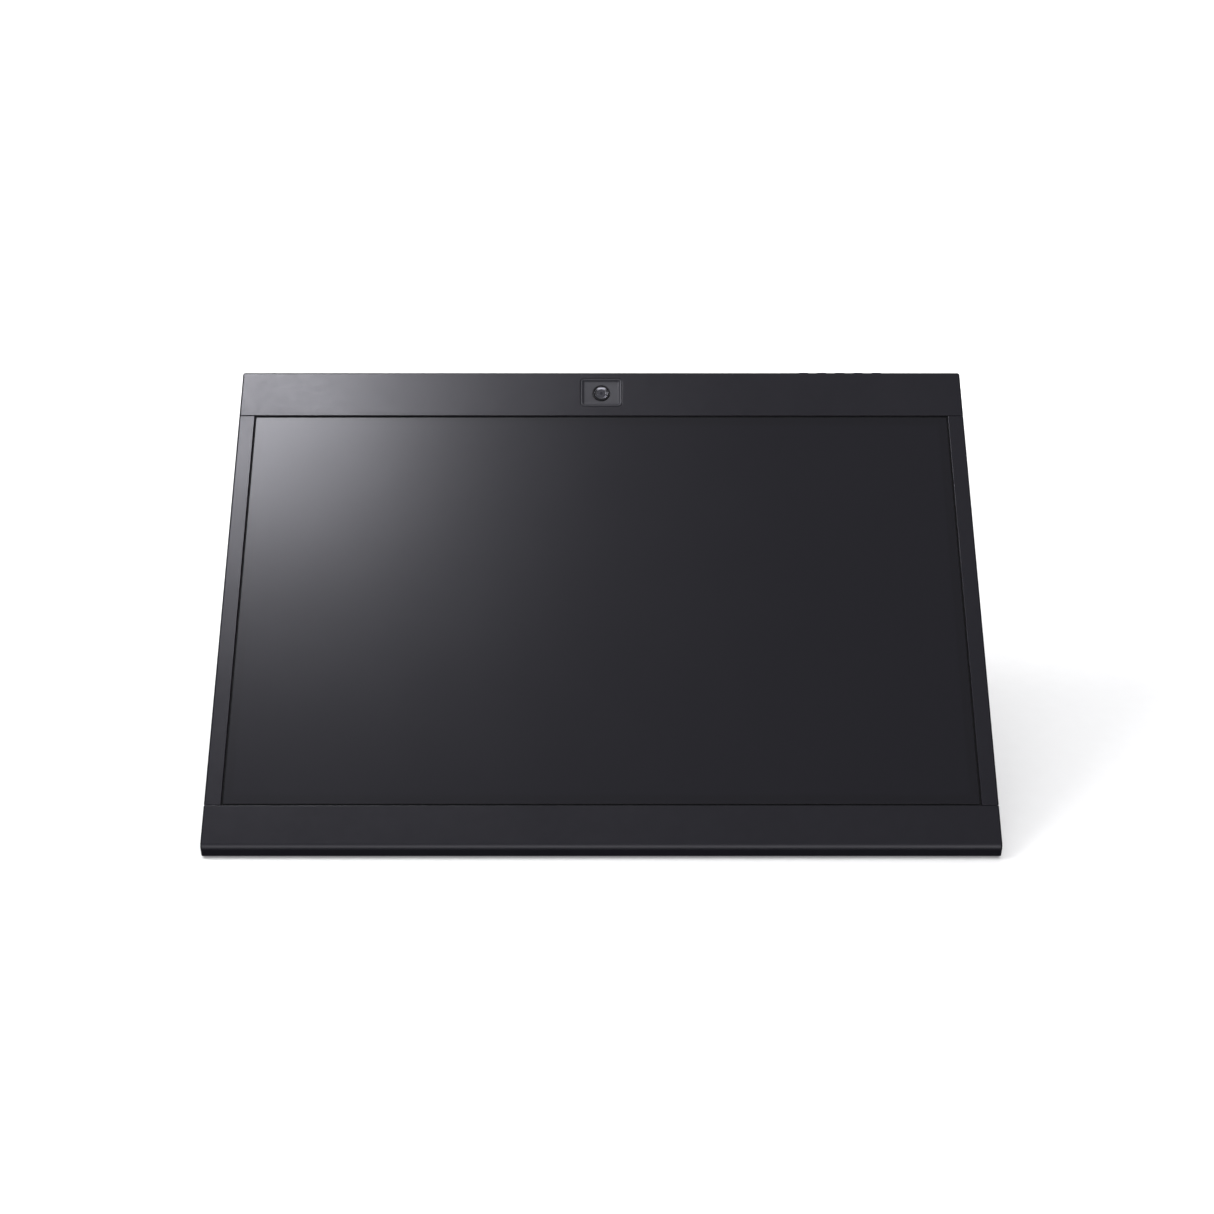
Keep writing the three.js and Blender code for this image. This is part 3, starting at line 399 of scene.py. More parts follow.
def translucent(name, colour, pitch):
    """A backlight sheet: white, with a regular field of printed dots."""
    finish = Finish(name, subsurface_weight=0.2)
    x, v, _ = finish.parts(finish.turned())
    across, along = [part.within(pitch) / pitch - 0.5 for part in (x, v)]
    dots = (across * across + along * along).root().rising(0.32, 0.24)
    finish.wear(
        base_color=finish.mixed(dots, tone(colour, 0.9), (0.92, 0.94, 0.96, 1.0)),
        roughness=0.3 + 0.3 * dots,
    )
    finish.relief(dots, 0.02 * MM)
    return finish.material


def display_layer(name):
    """The liquid-crystal layer: dark glass with a faint lattice of cells."""
    finish = Finish(name, specular_ior_level=0.4)
    x, v, _ = finish.parts(finish.turned())
    pitch = 0.31 * MM
    gaps = x.within(pitch / 3).rising(0.02 * MM, 0.0).highest(v.within(pitch).rising(0.03 * MM, 0.0))
    finish.wear(
        base_color=finish.mixed(gaps, (0.020, 0.020, 0.026, 1.0), (0.006, 0.006, 0.007, 1.0)),
        roughness=0.22 + 0.1 * finish.noise(40.0, 3.0),
    )
    return finish.material


def foam(name):
    """Closed-cell foam tape."""
    finish = Finish(name)
    cells = finish.cells(1600.0)
    finish.wear(
        base_color=finish.mixed(cells, (0.005, 0.005, 0.005, 1.0), (0.018, 0.018, 0.018, 1.0)),
        roughness=0.9 + 0.08 * (cells - 0.5),
    )
    finish.relief(cells, 0.1 * MM)
    return finish.material


def circuit(name, rear=None):
    """A green board with copper under its mask and plated holes.

    Past the rear plane w, its parts are black and their legs are tinned."""
    finish = Finish(name)
    x, v, w = finish.parts(finish.turned())
    pitch = 2.4 * MM
    weave = finish.noise(55.0, 2.0)
    runs = (v + weave * 6 * MM).within(pitch).rising(0.35 * pitch, 0.45 * pitch)
    copper = runs * finish.noise(38.0, 2.0).rising(0.46, 0.54)
    holes = finish.cells(210.0).rising(0.17, 0.12)
    mask = finish.mixed(copper, (0.010, 0.062, 0.030, 1.0), (0.030, 0.150, 0.075, 1.0))
    board = finish.mixed(holes, mask, (0.55, 0.50, 0.36, 1.0))
    roughness = 0.36 + 0.12 * weave
    metallic = holes
    if rear is not None:
        part = w.rising(rear - 0.05 * MM, rear - 0.15 * MM)
        legs = x.within(1.27 * MM).rising(0.5 * MM, 0.6 * MM) * w.rising(rear - 1.0 * MM, rear - 0.9 * MM)
        package = finish.mixed(legs, (0.012, 0.012, 0.013, 1.0), (0.55, 0.55, 0.56, 1.0))
        board = finish.mixed(part, board, package)
        roughness = roughness + 0.15 * part
        metallic = holes * (1.0 - part) + legs * part
    finish.wear(base_color=board, roughness=roughness, metallic=metallic)
    finish.relief(copper, 0.035 * MM)
    return finish.material


def light_strip(name):
    """A white flexible strip with yellow light-emitting chips along it."""
    finish = Finish(name)
    _, v, _ = finish.parts(finish.turned())
    pitch = 7.0 * MM
    chip = (v.within(pitch) - pitch / 2).size().rising(1.9 * MM, 1.7 * MM)
    finish.wear(
        base_color=finish.mixed(chip, (0.72, 0.72, 0.70, 1.0), (0.74, 0.58, 0.10, 1.0)),
        roughness=0.35 + 0.2 * finish.noise(500.0, 2.0),
    )
    finish.relief(chip, 0.1 * MM)
    return finish.material


def ribbon(name):
    """Flat cable: conductors set side by side across x show as ridges under a pale film."""
    finish = Finish(name)
    x, _, _ = finish.parts(finish.turned())
    pitch = 1.0 * MM
    ridge = (x.within(pitch) / pitch - 0.5).size().rising(0.34, 0.16)
    stain = finish.noise(90.0, 3.0)
    finish.wear(
        base_color=finish.mixed(ridge, (0.62, 0.60, 0.53, 1.0), (0.46, 0.42, 0.34, 1.0)),
        roughness=0.30 + 0.15 * stain,
    )
    finish.relief(ridge, 0.08 * MM)
    return finish.material


def plated(name, colour, roughness):
    """Nickel-plated pressing, a little cloudy."""
    finish = Finish(name, metallic=1.0)
    cloud = finish.noise(260.0, 4.0)
    finish.wear(
        base_color=finish.mixed(cloud, tone(colour, 0.75), tone(colour, 1.1)),
        roughness=roughness + 0.2 * (cloud - 0.5),
    )
    finish.relief(cloud, 0.01 * MM)
    return finish.material


CHARCOAL = (0.0115, 0.0110, 0.0150)


# ---------------------------------------------------------------- mesh helpers
class Skin:
    """The patches of one piece, gathered before its mesh is made."""

    def __init__(self):
        self.points = []
        self.faces = []
        self.count = 0

    def grid(self, points, wrap=False, keep=None):
        """Quads between neighbouring rows and columns of an array of shape (rows, columns, 3).

        wrap also joins each row's last point to its first, and keep says which cells are filled."""
        rows, columns = points.shape[:2]
        i, j = np.meshgrid(np.arange(rows - 1), np.arange(columns if wrap else columns - 1), indexing="ij")
        k = (j + 1) % columns
        quads = np.stack([i * columns + j, i * columns + k, (i + 1) * columns + k, (i + 1) * columns + j], -1)
        quads = quads[keep] if keep is not None else quads.reshape(-1, 4)
        self.faces += (quads + self.count).tolist()
        self.store(points)

    def lid(self, loop):
        """One flat face over a closed loop."""
        self.faces.append(list(range(self.count, self.count + len(loop))))
        self.store(loop)

    def store(self, points):
        flat = points.reshape(-1, 3)
        self.points.append(flat)
        self.count += len(flat)

    def stack(self, points, lids=True):
        """A grid of closed loops, with its first and last loops covered."""
        self.grid(points, wrap=True)
        if lids:
            self.lid(points[0])
            self.lid(points[-1])


def stacked(points, lids=True):
    """A skin that is one stack of closed loops."""
    skin = Skin()
    skin.stack(points, lids)
    return skin


def link(name, mesh, finish):
    """A smooth-shaded object of the mesh, in its finish."""
    mesh.shade_smooth()
    mesh.materials.append(finish)
    piece = bpy.data.objects.new(name, mesh)
    bpy.context.scene.collection.objects.link(piece)
    return piece


def merged(name, points, faces):
    """A mesh whose doubles are merged and whose faces point out."""
    mesh = bpy.data.meshes.new(name)
    mesh.from_pydata(points.tolist(), [], faces)
    work = bmesh.new()
    work.from_mesh(mesh)
    bmesh.ops.remove_doubles(work, verts=work.verts, dist=MERGED)
    bmesh.ops.recalc_face_normals(work, faces=work.faces)
    work.to_mesh(mesh)
    work.free()
    return mesh


def made(name, skin, finish, axes=PANEL):
    """The piece of a skin that was drawn in the given axes."""
    return link(name, merged(name, np.concatenate(skin.points) @ axes, skin.faces), finish)


def copied(name, node, finish):
    """A copy of a CAD node, with its loose triangles merged."""
    source = frame["nodes"][node].data
    source.calc_loop_triangles()
    triangles = np.empty(len(source.loop_triangles) * 3, np.int32)
    source.loop_triangles.foreach_get("vertices", triangles)
    return link(name, merged(name, positions(source), triangles.reshape(-1, 3).tolist()), finish)


def walled(piece, thickness):
    """Gives a skin its wall, inwards."""
    wall = piece.modifiers.new("wall", "SOLIDIFY")
    wall.thickness = thickness
    wall.offset = -1.0
    wall.use_even_offset = True
    wall.use_quality_normals = True


def eased(piece, radius, segments=3, marked=False):
    """Rounds the sharp edges, or only the marked ones."""
    bevel = piece.modifiers.new("edges", "BEVEL")
    bevel.width = radius
    bevel.segments = segments
    bevel.limit_method = "WEIGHT" if marked else "ANGLE"
    bevel.angle_limit = SHARP
    bevel.use_clamp_overlap = False


def settled(piece):
    """Shades large flat faces as flat, with the rounding left to the edges."""
    normals = piece.modifiers.new("shading", "WEIGHTED_NORMAL")
    normals.keep_sharp = True


def mark_edges(piece, inside, least=0.0):
    """Marks sharp edges for the bevel where both ends satisfy inside, a test on points in the panel frame.

    Edges shorter than least are passed over."""
    held = inside(positions(piece.data) @ PANEL.T)
    work = bmesh.new()
    work.from_mesh(piece.data)
    weight = work.edges.layers.float.new("bevel_weight_edge")
    for edge in work.edges:
        turns = edge.calc_face_angle(0.0) > SHARP and edge.calc_length() > least
        if turns and all(held[v.index] for v in edge.verts):
            edge[weight] = 1.0
    work.to_mesh(piece.data)
    work.free()


def stand_for(piece, node):
    """The piece rides as the CAD node does and hides it."""
    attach(piece, BODY_OF[node])
    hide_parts(node)
    return piece


def ride_with(piece, node):
    """A further piece on the same body, beside the one that stands for the node."""
    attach(piece, BODY_OF[node])
    return piece


def finished(name, skin, node, finish, axes=PANEL):
    """The piece of a skin, evenly shaded, that stands for the CAD node."""
    piece = made(name, skin, finish, axes)
    settled(piece)
    stand_for(piece, node)


# ---------------------------------------------------------------- shapes
def rounded_loop(width, height, radius, middle=(0.0, 0.0), steps=6):
    """A rectangle with round corners: a quarter circle about each of four centres, counterclockwise."""
    turn = np.arange(4)[:, None] * np.pi / 2
    angle = turn + np.linspace(0.0, np.pi / 2, steps + 1)
    signs = np.sign([np.cos(turn + np.pi / 4), np.sin(turn + np.pi / 4)])
    x = signs[0] * (width / 2 - radius) + radius * np.cos(angle)
    y = signs[1] * (height / 2 - radius) + radius * np.sin(angle)
    return np.stack([x, y], -1).reshape(-1, 2) + middle


def tiers(rows, order=FACE):
    """Loops stacked as a grid. Each row is (loop, level); order gives the axes of the loop and the level."""
    loops = np.array([loop for loop, _ in rows])
    levels = np.array([level for _, level in rows])
    points = np.empty(loops.shape[:2] + (3,))
    points[..., order[0]] = loops[..., 0]
    points[..., order[1]] = loops[..., 1]
    points[..., order[2]] = levels[:, None]
    return points


def quarter_round(radius, steps=4):
    """(inset, rise) along a quarter circle that turns a side into a top: from (0, 0) to (radius, radius)."""
    angle = np.linspace(0.0, np.pi / 2, steps + 1)
    return np.stack([radius * (1 - np.cos(angle)), radius * np.sin(angle)], -1)


def revolved(profile, middle, order=FACE, sides=64, hexagon=None):
    """A profile of (radius, level) rows turned about a line through middle.

    Rows flagged in hexagon are six-sided: the radius is divided by the cosine of the angle to the nearest
    flat."""
    profile = np.asarray(profile, float)
    angle = np.linspace(0.0, 2 * np.pi, sides, endpoint=False)
    radius = np.repeat(profile[:, :1], sides, 1)
    if hexagon is not None:
        six = 1 / np.cos(np.mod(angle, np.pi / 3) - np.pi / 6)
        radius = np.where(np.array(hexagon)[:, None], radius * six, radius)
    points = np.empty((len(profile), sides, 3))
    points[..., order[0]] = middle[0] + radius * np.cos(angle)
    points[..., order[1]] = middle[1] + radius * np.sin(angle)
    points[..., order[2]] = profile[:, 1:2]
    return points


def stations(half, radius, margin, steps=4):
    """Places along a block's side whose nearest points on the opening's round corners are evenly spaced.

    A place is half less radius, and then margin plus radius times the tangent of its corner angle."""
    reach = half - radius + (margin + radius) * np.tan(np.linspace(0.0, np.pi / 4, steps + 1))
    return np.concatenate([-reach[::-1], reach])


def onto_opening(points, middle, half, radius):
    """The nearest points of a rounded rectangle: a clamp to its core, then the corner radius outwards."""
    offset = points - middle
    core = np.clip(offset, radius - half, half - radius)
    away = offset - core
    return middle + core + radius * away / np.linalg.norm(away, axis=-1, keepdims=True)


class Opening:
    """A rounded rectangle in a skin's flat face. It takes a block of cells with a margin round it.

    axis is the one that runs with x in that face: 1 for v on the front, 2 for w on the top."""

    def __init__(self, middle, half, radius, margin, axis, level):
        self.middle = np.array(middle)
        self.half = np.array(half)
        self.radius = radius
        self.margin = margin
        self.axis = axis
        self.level = level

    def places(self, which):
        """The block's stations along x for which = 0, or along the face's other axis for 1."""
        return self.middle[which] + stations(self.half[which], self.radius, self.margin)

    def rows(self, coordinate):
        reach = self.half[0] + self.margin + SAME
        return np.flatnonzero(np.abs(coordinate - self.middle[0]) < reach)

    def columns(self, profile):
        reach = self.half[1] + self.margin + SAME
        on_face = np.abs(profile[:, 2 - self.axis] - self.level) < SAME
        return np.flatnonzero(on_face & (np.abs(profile[:, self.axis - 1] - self.middle[1]) < reach))


def pierced(skin, xs, profile, openings):
    """A grid of the stations xs by the profile's (v, w) points, open where the openings are.

    Each opening's block is left out, and a ring joins its edge to the nearest points of the opening."""
    points = np.empty((len(xs), len(profile), 3))
    points[..., 0] = xs[:, None]
    points[..., 1:] = profile
    keep = np.ones((len(xs) - 1, len(profile) - 1), bool)
    for opening in openings:
        i, j = opening.rows(xs), opening.columns(profile)
        keep[i[0]:i[-1], j[0]:j[-1]] = False
        block = points[i[0]:i[-1] + 1, j[0]:j[-1] + 1]
        edge = np.concatenate([block[:-1, 0], block[-1, :-1], block[:0:-1, -1], block[0, :0:-1]])
        hole = edge.copy()
        plane = [0, opening.axis]
        hole[:, plane] = onto_opening(edge[:, plane], opening.middle, opening.half, opening.radius)
        skin.grid(np.stack([edge, hole]), wrap=True)
    skin.grid(points, keep=keep)
    return points


# ---------------------------------------------------------------- front bars
BAR_WALL = 2.5 * MM
NOSE_RADIUS = 8.0 * MM
OUTER_RADIUS = 1.9 * MM
EDGE_RADIUS = 0.45 * MM
BUTTON_HOLE_CORNER = 1.2 * MM
CAMERA_CORNER = 3.4 * MM


def arc(corner, before, after, radius, steps=12):
    """Points round a corner of a (v, w) outline: a circle that touches the lines to the two neighbours."""
    back = (before - corner) / np.linalg.norm(before - corner)
    on = (after - corner) / np.linalg.norm(after - corner)
    half = math.acos(np.clip(back @ on, -1.0, 1.0)) / 2
    inward = (back + on) / np.linalg.norm(back + on)
    centre = corner + inward * radius / math.sin(half)
    start, end = [corner + way * radius / math.tan(half) - centre for way in (back, on)]
    share = np.linspace(0.0, 1.0, steps + 1)[:, None]
    sweep = math.pi - 2 * half
    return centre + (np.sin((1 - share) * sweep) * start + np.sin(share * sweep) * end) / math.sin(sweep)


def close_ends(skin, points, corner):
    """Flat ends: straight lines from each point of the end profiles to the open side's corner (v, w)."""
    for row in (points[0], points[-1]):
        tip = np.broadcast_to([row[0, 0], *corner], row.shape)
        skin.grid(np.stack([row, tip]))


def finish_bar(piece, node, low, high):
    """Gives a bar its wall and its edges: wide along the top and the outer sides, and fine at the seams."""
    def rounded(p):
        outside = np.abs(p[:, 0]) > max(-low[0], high[0]) - SAME
        front = p[:, 2] > high[2] - SAME
        top = p[:, 1] > high[1] - SAME
        if node == "top_bar":
            return (outside & (front | top)) | (front & top)
        return outside & (front | ~top)

    mark_edges(piece, rounded)
    walled(piece, BAR_WALL)
    eased(piece, OUTER_RADIUS, segments=6, marked=True)
    eased(piece, EDGE_RADIUS)
    settled(piece)
    stand_for(piece, node)


def bottom_bar(finish):
    """The chin: a (v, w) outline from the screen round the nose to the underside, carried along x."""
    low, high = panel_box("bottom_bar")
    lowest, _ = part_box("bottom_bar")
    front = panel_corner(high[2], y=lowest[1])
    foot = np.array([lowest[1], lowest[2]]) @ PANEL[1:, 1:].T
    rear = panel_corner(low[2], z=lowest[2])
    top = np.array([high[1], high[2]])
    profile = np.concatenate([[top], arc(front, top, foot, NOSE_RADIUS), [foot], [rear]])
    skin = Skin()
    points = pierced(skin, np.array([low[0], high[0]]), profile, [])
    close_ends(skin, points, (high[1], low[2]))
    finish_bar(made("bottom_bar_moulding", skin, finish), "bottom_bar", low, high)


def camera_window(front):
    """The top bar's window: the camera tray's front outline and the gap round it."""
    tray = panel_points("camera_tray")
    low, high = extent(tray[tray[:, 2] > front - SAME])
    middle, half = (low + high)[:2] / 2, (high - low)[:2] / 2 + CLEAR
    return Opening(middle, half, CAMERA_CORNER, 2.0 * MM, axis=1, level=front)


def button_hole(node, top):
    """The hole for one button: the part of the button that stands proud, and the gap round it."""
    points = panel_points(node)
    low, high = extent(points[points[:, 1] > top + SAME])
    middle, half = ((low + high) / 2)[[0, 2]], ((high - low) / 2)[[0, 2]] + CLEAR
    return Opening(middle, half, BUTTON_HOLE_CORNER, 1.2 * MM, axis=2, level=top)


def top_bar(finish):
    """The bar above the screen: front and top faces, pierced by the camera window and five button holes."""
    low, high = panel_box("top_bar")
    window = camera_window(high[2])
    holes = [button_hole(node, high[1]) for node in BUTTONS]
    xs = np.unique(np.concatenate([[low[0], high[0]], *[o.places(0) for o in [window, *holes]]]).round(7))
    front_v = np.sort(np.concatenate([[low[1], high[1]], window.places(1)]))
    top_w = np.sort(np.concatenate([[low[2]], holes[0].places(1)]))[::-1]
    front = np.stack([front_v, np.full_like(front_v, high[2])], -1)
    top = np.stack([np.full_like(top_w, high[1]), top_w], -1)
    skin = Skin()
    points = pierced(skin, xs, np.concatenate([front, top]), [window, *holes])
    close_ends(skin, points, (low[1], low[2]))
    finish_bar(made("top_bar_moulding", skin, finish), "top_bar", low, high)


def side_bar(hand, finish):
    """A bar beside the screen: its front and outer faces, an angle in x and w carried along v."""
    name = "left_bar" if hand < 0 else "right_bar"
    low, high = panel_box(name)
    inner, outer = (high[0], low[0]) if hand < 0 else (low[0], high[0])
    angle = np.array([[inner, high[2]], [outer, high[2]], [outer, low[2]]])
    points = np.empty((2, len(angle), 3))
    points[..., 0] = angle[:, 0]
    points[..., 1] = [[low[1]], [high[1]]]
    points[..., 2] = angle[:, 1]
    skin = Skin()
    skin.grid(points)
    finish_bar(made(f"{name}_moulding", skin, finish), name, low, high)


# ---------------------------------------------------------------- screen
GLASS_CORNER = 1.1 * MM
GLASS_EDGE = 0.35 * MM


def screen():
    """The glass: a flat plate with round corners and a rounded front edge, under its matte film."""
    low, high = panel_box("screen_glass")
    width, height = (high - low)[:2]
    middle = (low + high) / 2
    rows = [(rounded_loop(width, height, GLASS_CORNER, middle[:2]), low[2])]
    for inset, rise in quarter_round(GLASS_EDGE):
        loop = rounded_loop(width - 2 * inset, height - 2 * inset, GLASS_CORNER - inset, middle[:2])
        rows.append((loop, high[2] - GLASS_EDGE + rise))
    film = anti_glare("anti_glare_glass", tuple(middle), tuple((high - low) / 2))
    finished("screen_cover_glass", stacked(tiers(rows)), "screen_glass", film)


# ---------------------------------------------------------------- camera
DISH_RIM = 0.6 * MM
DISH_SLOPE = 2.3 * MM
DISH_DEPTH = 1.9 * MM
BARREL_WALL = 1.3 * MM
LENS_EDGE = 0.05 * MM


def camera_tray(finish):
    """The dished window: loops from the hole at the back, round the flange, over the rim and to the floor."""
    low, high = panel_box("camera_tray")
    points = panel_points("camera_tray")
    face_low, face_high = extent(points[points[:, 2] > high[2] - SAME])
    ledge = panel_box("top_bar")[1][2] - BAR_WALL - CLEAR
    middle = ((low + high) / 2)[:2]
    barrel_low, barrel_high = panel_box("camera_barrel")
    hole = (barrel_high[0] - barrel_low[0]) + 2 * CLEAR
    width, height = (face_high - face_low)[:2]
    corner = CAMERA_CORNER - CLEAR

    def rect(inset):
        return rounded_loop(width - 2 * inset, height - 2 * inset, max(corner - inset, 0.8 * MM), middle)

    circle = rounded_loop(hole, hole, hole / 2, middle)
    flange = (high - low)[:2]
    outer = rounded_loop(*flange, 3 * MM, middle)
    slope = np.linspace(0.0, 1.0, 9)
    ease = slope * slope * (3 - 2 * slope)
    shallow = 0.35 * slope + 0.65 * ease
    soft = 0.3 * MM
    rows = [(circle, low[2]), (outer, low[2]), (outer, ledge)]
    rows += [(rect(0.0), ledge), (rect(0.0), high[2] - soft)]
    rows += [(rect(inset), high[2] - soft + rise) for inset, rise in quarter_round(soft)]
    for share, drop in zip(slope, shallow):
        rows.append((rect(DISH_RIM + share * DISH_SLOPE), high[2] - drop * DISH_DEPTH))
    floor = high[2] - DISH_DEPTH
    bevel = 0.25 * MM
    wider = rounded_loop(hole + 2 * bevel, hole + 2 * bevel, hole / 2 + bevel, middle)
    rows += [(wider, floor), (circle, floor - bevel), (circle, low[2])]
    finished("camera_window_tray", stacked(tiers(rows), lids=False), "camera_tray", finish)


def camera_barrel(finish):
    """The ring round the lens: a rounded lip, then a stepped throat down to the lens's seat."""
    low, high = panel_box("camera_barrel")
    middle, outer = ((low + high) / 2)[:2], (high[0] - low[0]) / 2
    inner = outer - BARREL_WALL
    lip = 0.35 * MM
    angle = np.linspace(0.0, np.pi, 9)
    crown = np.stack([outer - lip + lip * np.cos(angle), high[2] - lip + lip * np.sin(angle)], -1)
    steps = [
        (outer - 2 * lip, high[2] - 0.5 * MM),
        (inner + 0.25 * MM, high[2] - 0.62 * MM),
        (inner, high[2] - 0.95 * MM),
    ]
    profile = [(inner, low[2]), (outer, low[2]), *crown, *steps, (inner, low[2])]
    finished("camera_lens_ring", stacked(revolved(profile, middle), lids=False), "camera_barrel", finish)


def camera_lens():
    """The front lens: a polished dish whose slope eases from its lip to the eye, which is a low cap of glass.

    The dish falls by the running sum of the slope's tangent over the steps of radius."""
    low, high = panel_box("camera_lens")
    middle, radius = ((low + high) / 2)[:2], (high[0] - low[0]) / 2
    lip, eye = high[2] - 0.45 * MM, LENS_EYE * radius
    reach = np.linspace(radius - 0.1 * MM, eye, 15)
    slope = np.radians(np.linspace(42.0, 23.0, 15))
    fall = np.concatenate([[0.0], np.cumsum(-np.diff(reach) * np.tan(slope[1:]))])
    dish = np.stack([reach, lip - fall], -1)
    groove = dish[-1, 1] - 0.12 * MM
    share = np.linspace(0.0, np.pi / 2, 12)
    cap = np.stack([(eye - 0.1 * MM) * np.cos(share), groove + 0.14 * MM * np.sin(share)], -1)
    rows = [(0.0, low[2]), (radius, low[2]), (radius, lip - 0.1 * MM), *dish, (eye - 0.05 * MM, groove), *cap]
    finish = lens_glass("coated_lens", (*middle, 0.0), radius)
    piece = made("camera_front_lens", stacked(revolved(rows, middle), lids=False), finish)
    eased(piece, LENS_EDGE, segments=2)
    settled(piece)
    stand_for(piece, "camera_lens")


# ---------------------------------------------------------------- buttons
def button(node, finish):
    """A key on its stem: loops in x and w from the stem's foot, round the flange and up to a dished cap."""
    points = panel_points(node)
    top = panel_box("top_bar")[1][1]
    low, high = extent(points)
    cap_low, cap_high = extent(points[points[:, 1] > top + SAME])
    stem_low, stem_high = extent(points[points[:, 1] < low[1] + SAME])
    flange = points[np.abs(points[:, 0] - low[0]) < SAME]
    flange_v = extent(flange)

    def loop(a, b, radius, grow=0.0):
        size, middle = (b - a)[[0, 2]] + 2 * grow, ((a + b) / 2)[[0, 2]]
        return rounded_loop(*size, max(radius + grow, 0.05 * MM), middle, steps=5)

    corner, crown, dish = 0.9 * MM, 0.6 * MM, 0.25 * MM
    flange_loop = loop(low, high, 0.5 * MM)
    rows = [
        (loop(stem_low, stem_high, 0.3 * MM), low[1]),
        (loop(stem_low, stem_high, 0.3 * MM), flange_v[0][1]),
        (flange_loop, flange_v[0][1]),
        (flange_loop, flange_v[1][1]),
        (loop(cap_low, cap_high, corner), flange_v[1][1]),
    ]
    rows += [
        (loop(cap_low, cap_high, corner, -inset), cap_high[1] - crown + rise)
        for inset, rise in quarter_round(crown, 5)
    ]
    half = (cap_high - cap_low)[2] / 2
    for share in np.linspace(0.0, 1.0, 5)[1:]:
        inset = crown + share * (half - crown - 0.5 * MM)
        sink = dish * math.sin(share * math.pi / 2) ** 2
        rows.append((loop(cap_low, cap_high, corner, -inset), cap_high[1] - sink))
    finished(f"{node}_key", stacked(tiers(rows, TOP)), node, finish)


# ---------------------------------------------------------------- screws, feet and ports
def screw(node, finish):
    """A cap screw turned about w, with a hexagonal socket in its head, which looks back."""
    points = panel_points(node)
    low, high = extent(points)
    middle, head = ((low + high) / 2)[:2], (high[0] - low[0]) / 2
    tip = points[points[:, 2] > high[2] - SAME]
    shank = np.linalg.norm(tip[:, :2] - middle, axis=1).max()
    beyond = np.linalg.norm(points[:, :2] - middle, axis=1) > head - SAME
    seat = points[beyond, 2].max()
    soft, socket, depth = 0.5 * MM, 0.46 * head, 0.55 * (seat - low[2])
    rows = [(0.0, high[2]), (shank - soft, high[2]), (shank, high[2] - soft), (shank, seat), (head, seat)]
    rows += [(head - inset, low[2] + soft - rise) for inset, rise in quarter_round(soft)]
    rounds = len(rows) + 1
    rows += [(socket + 0.45 * MM, low[2]), (socket, low[2] + 0.2 * MM), (socket, low[2] + depth)]
    rows += [(0.55 * socket, low[2] + depth + 0.15 * MM), (0.0, low[2] + depth + 0.4 * MM)]
    hexagon = [False] * rounds + [True] * 2 + [False] * (len(rows) - rounds - 2)
    skin = stacked(revolved(rows, middle, sides=48, hexagon=hexagon), lids=False)
    finished(f"{node}_socket_head", skin, node, finish)


def foot(node, finish):
    """A rubber pad drawn in the world: a rounded rim that rests on the table, a groove and an inner pad."""
    low, high = (np.array(corner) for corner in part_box(node))
    width, depth = (high - low)[:2]
    middle = ((low + high) / 2)[:2]
    corner, soft, groove = 3 * MM, 0.4 * MM, 0.35 * MM

    def loop(inset):
        tight = max(corner - inset, 0.6 * MM)
        return rounded_loop(width - 2 * inset, depth - 2 * inset, tight, middle, steps=8)

    rows = [(loop(0.0), high[2]), (loop(0.0), low[2] + soft)]
    rows += [(loop(inset), low[2] + soft - rise) for inset, rise in quarter_round(soft)]
    rows += [(loop(1.4 * MM), low[2]), (loop(1.6 * MM), low[2] + groove), (loop(2.2 * MM), low[2] + groove)]
    rows += [(loop(2.4 * MM), low[2])]
    finished(f"{node}_pad", stacked(tiers(rows)), node, finish, WORLD)


def shell_rows(width, height, corner, middle, mouth, back, wall):
    """A drawn metal mouth: out along the outside, round the lip, down the inside to a closed back."""
    outside = rounded_loop(width, height, corner, middle)
    rows = [(outside, back), (outside, mouth + wall / 2)]
    for angle in np.linspace(0.0, np.pi, 7)[1:]:
        inset = wall / 2 * (1 - math.cos(angle))
        loop = rounded_loop(width - 2 * inset, height - 2 * inset, max(corner - inset, 0.05 * MM), middle)
        rows.append((loop, mouth + wall / 2 - wall / 2 * math.sin(angle)))
    rows.append((rows[-1][0], back - 4 * MM))
    return rows


def tongue(name, width, thick, middle, mouth, back, finish, node):
    """The blade inside a socket, with a rounded front edge, drawn in x and w and carried along v."""
    soft = 0.3 * thick
    rows = [(rounded_loop(width, thick, soft, middle, steps=3), back)]
    for inset, rise in quarter_round(soft, 3):
        tight = max(soft - inset, 0.02 * MM)
        loop = rounded_loop(width - 2 * inset, thick - 2 * inset, tight, middle, steps=3)
        rows.append((loop, mouth + soft - rise))
    ride_with(made(name, stacked(tiers(rows, TOP)), finish), node)


def contacts(name, count, pitch, width, middle, mouth, length, lift, finish, node):
    """A row of sprung contacts on a socket's blade: flat bars whose front ends dip towards the blade."""
    share = np.linspace(0.0, 1.0, 7)
    rise = lift * np.sin(share * np.pi / 2)
    skin = Skin()
    for x in middle[0] + (np.arange(count) - (count - 1) / 2) * pitch:
        section = np.empty((len(share), 4, 3))
        section[..., 0] = x + width / 2 * np.array([-1, 1, 1, -1])
        section[..., 1] = (mouth + share * length)[:, None]
        section[:, :2, 2] = (middle[1] + rise)[:, None]
        section[:, 2:, 2] = (middle[1] - rise)[:, None]
        skin.stack(section)
    ride_with(made(name, skin, finish), node)


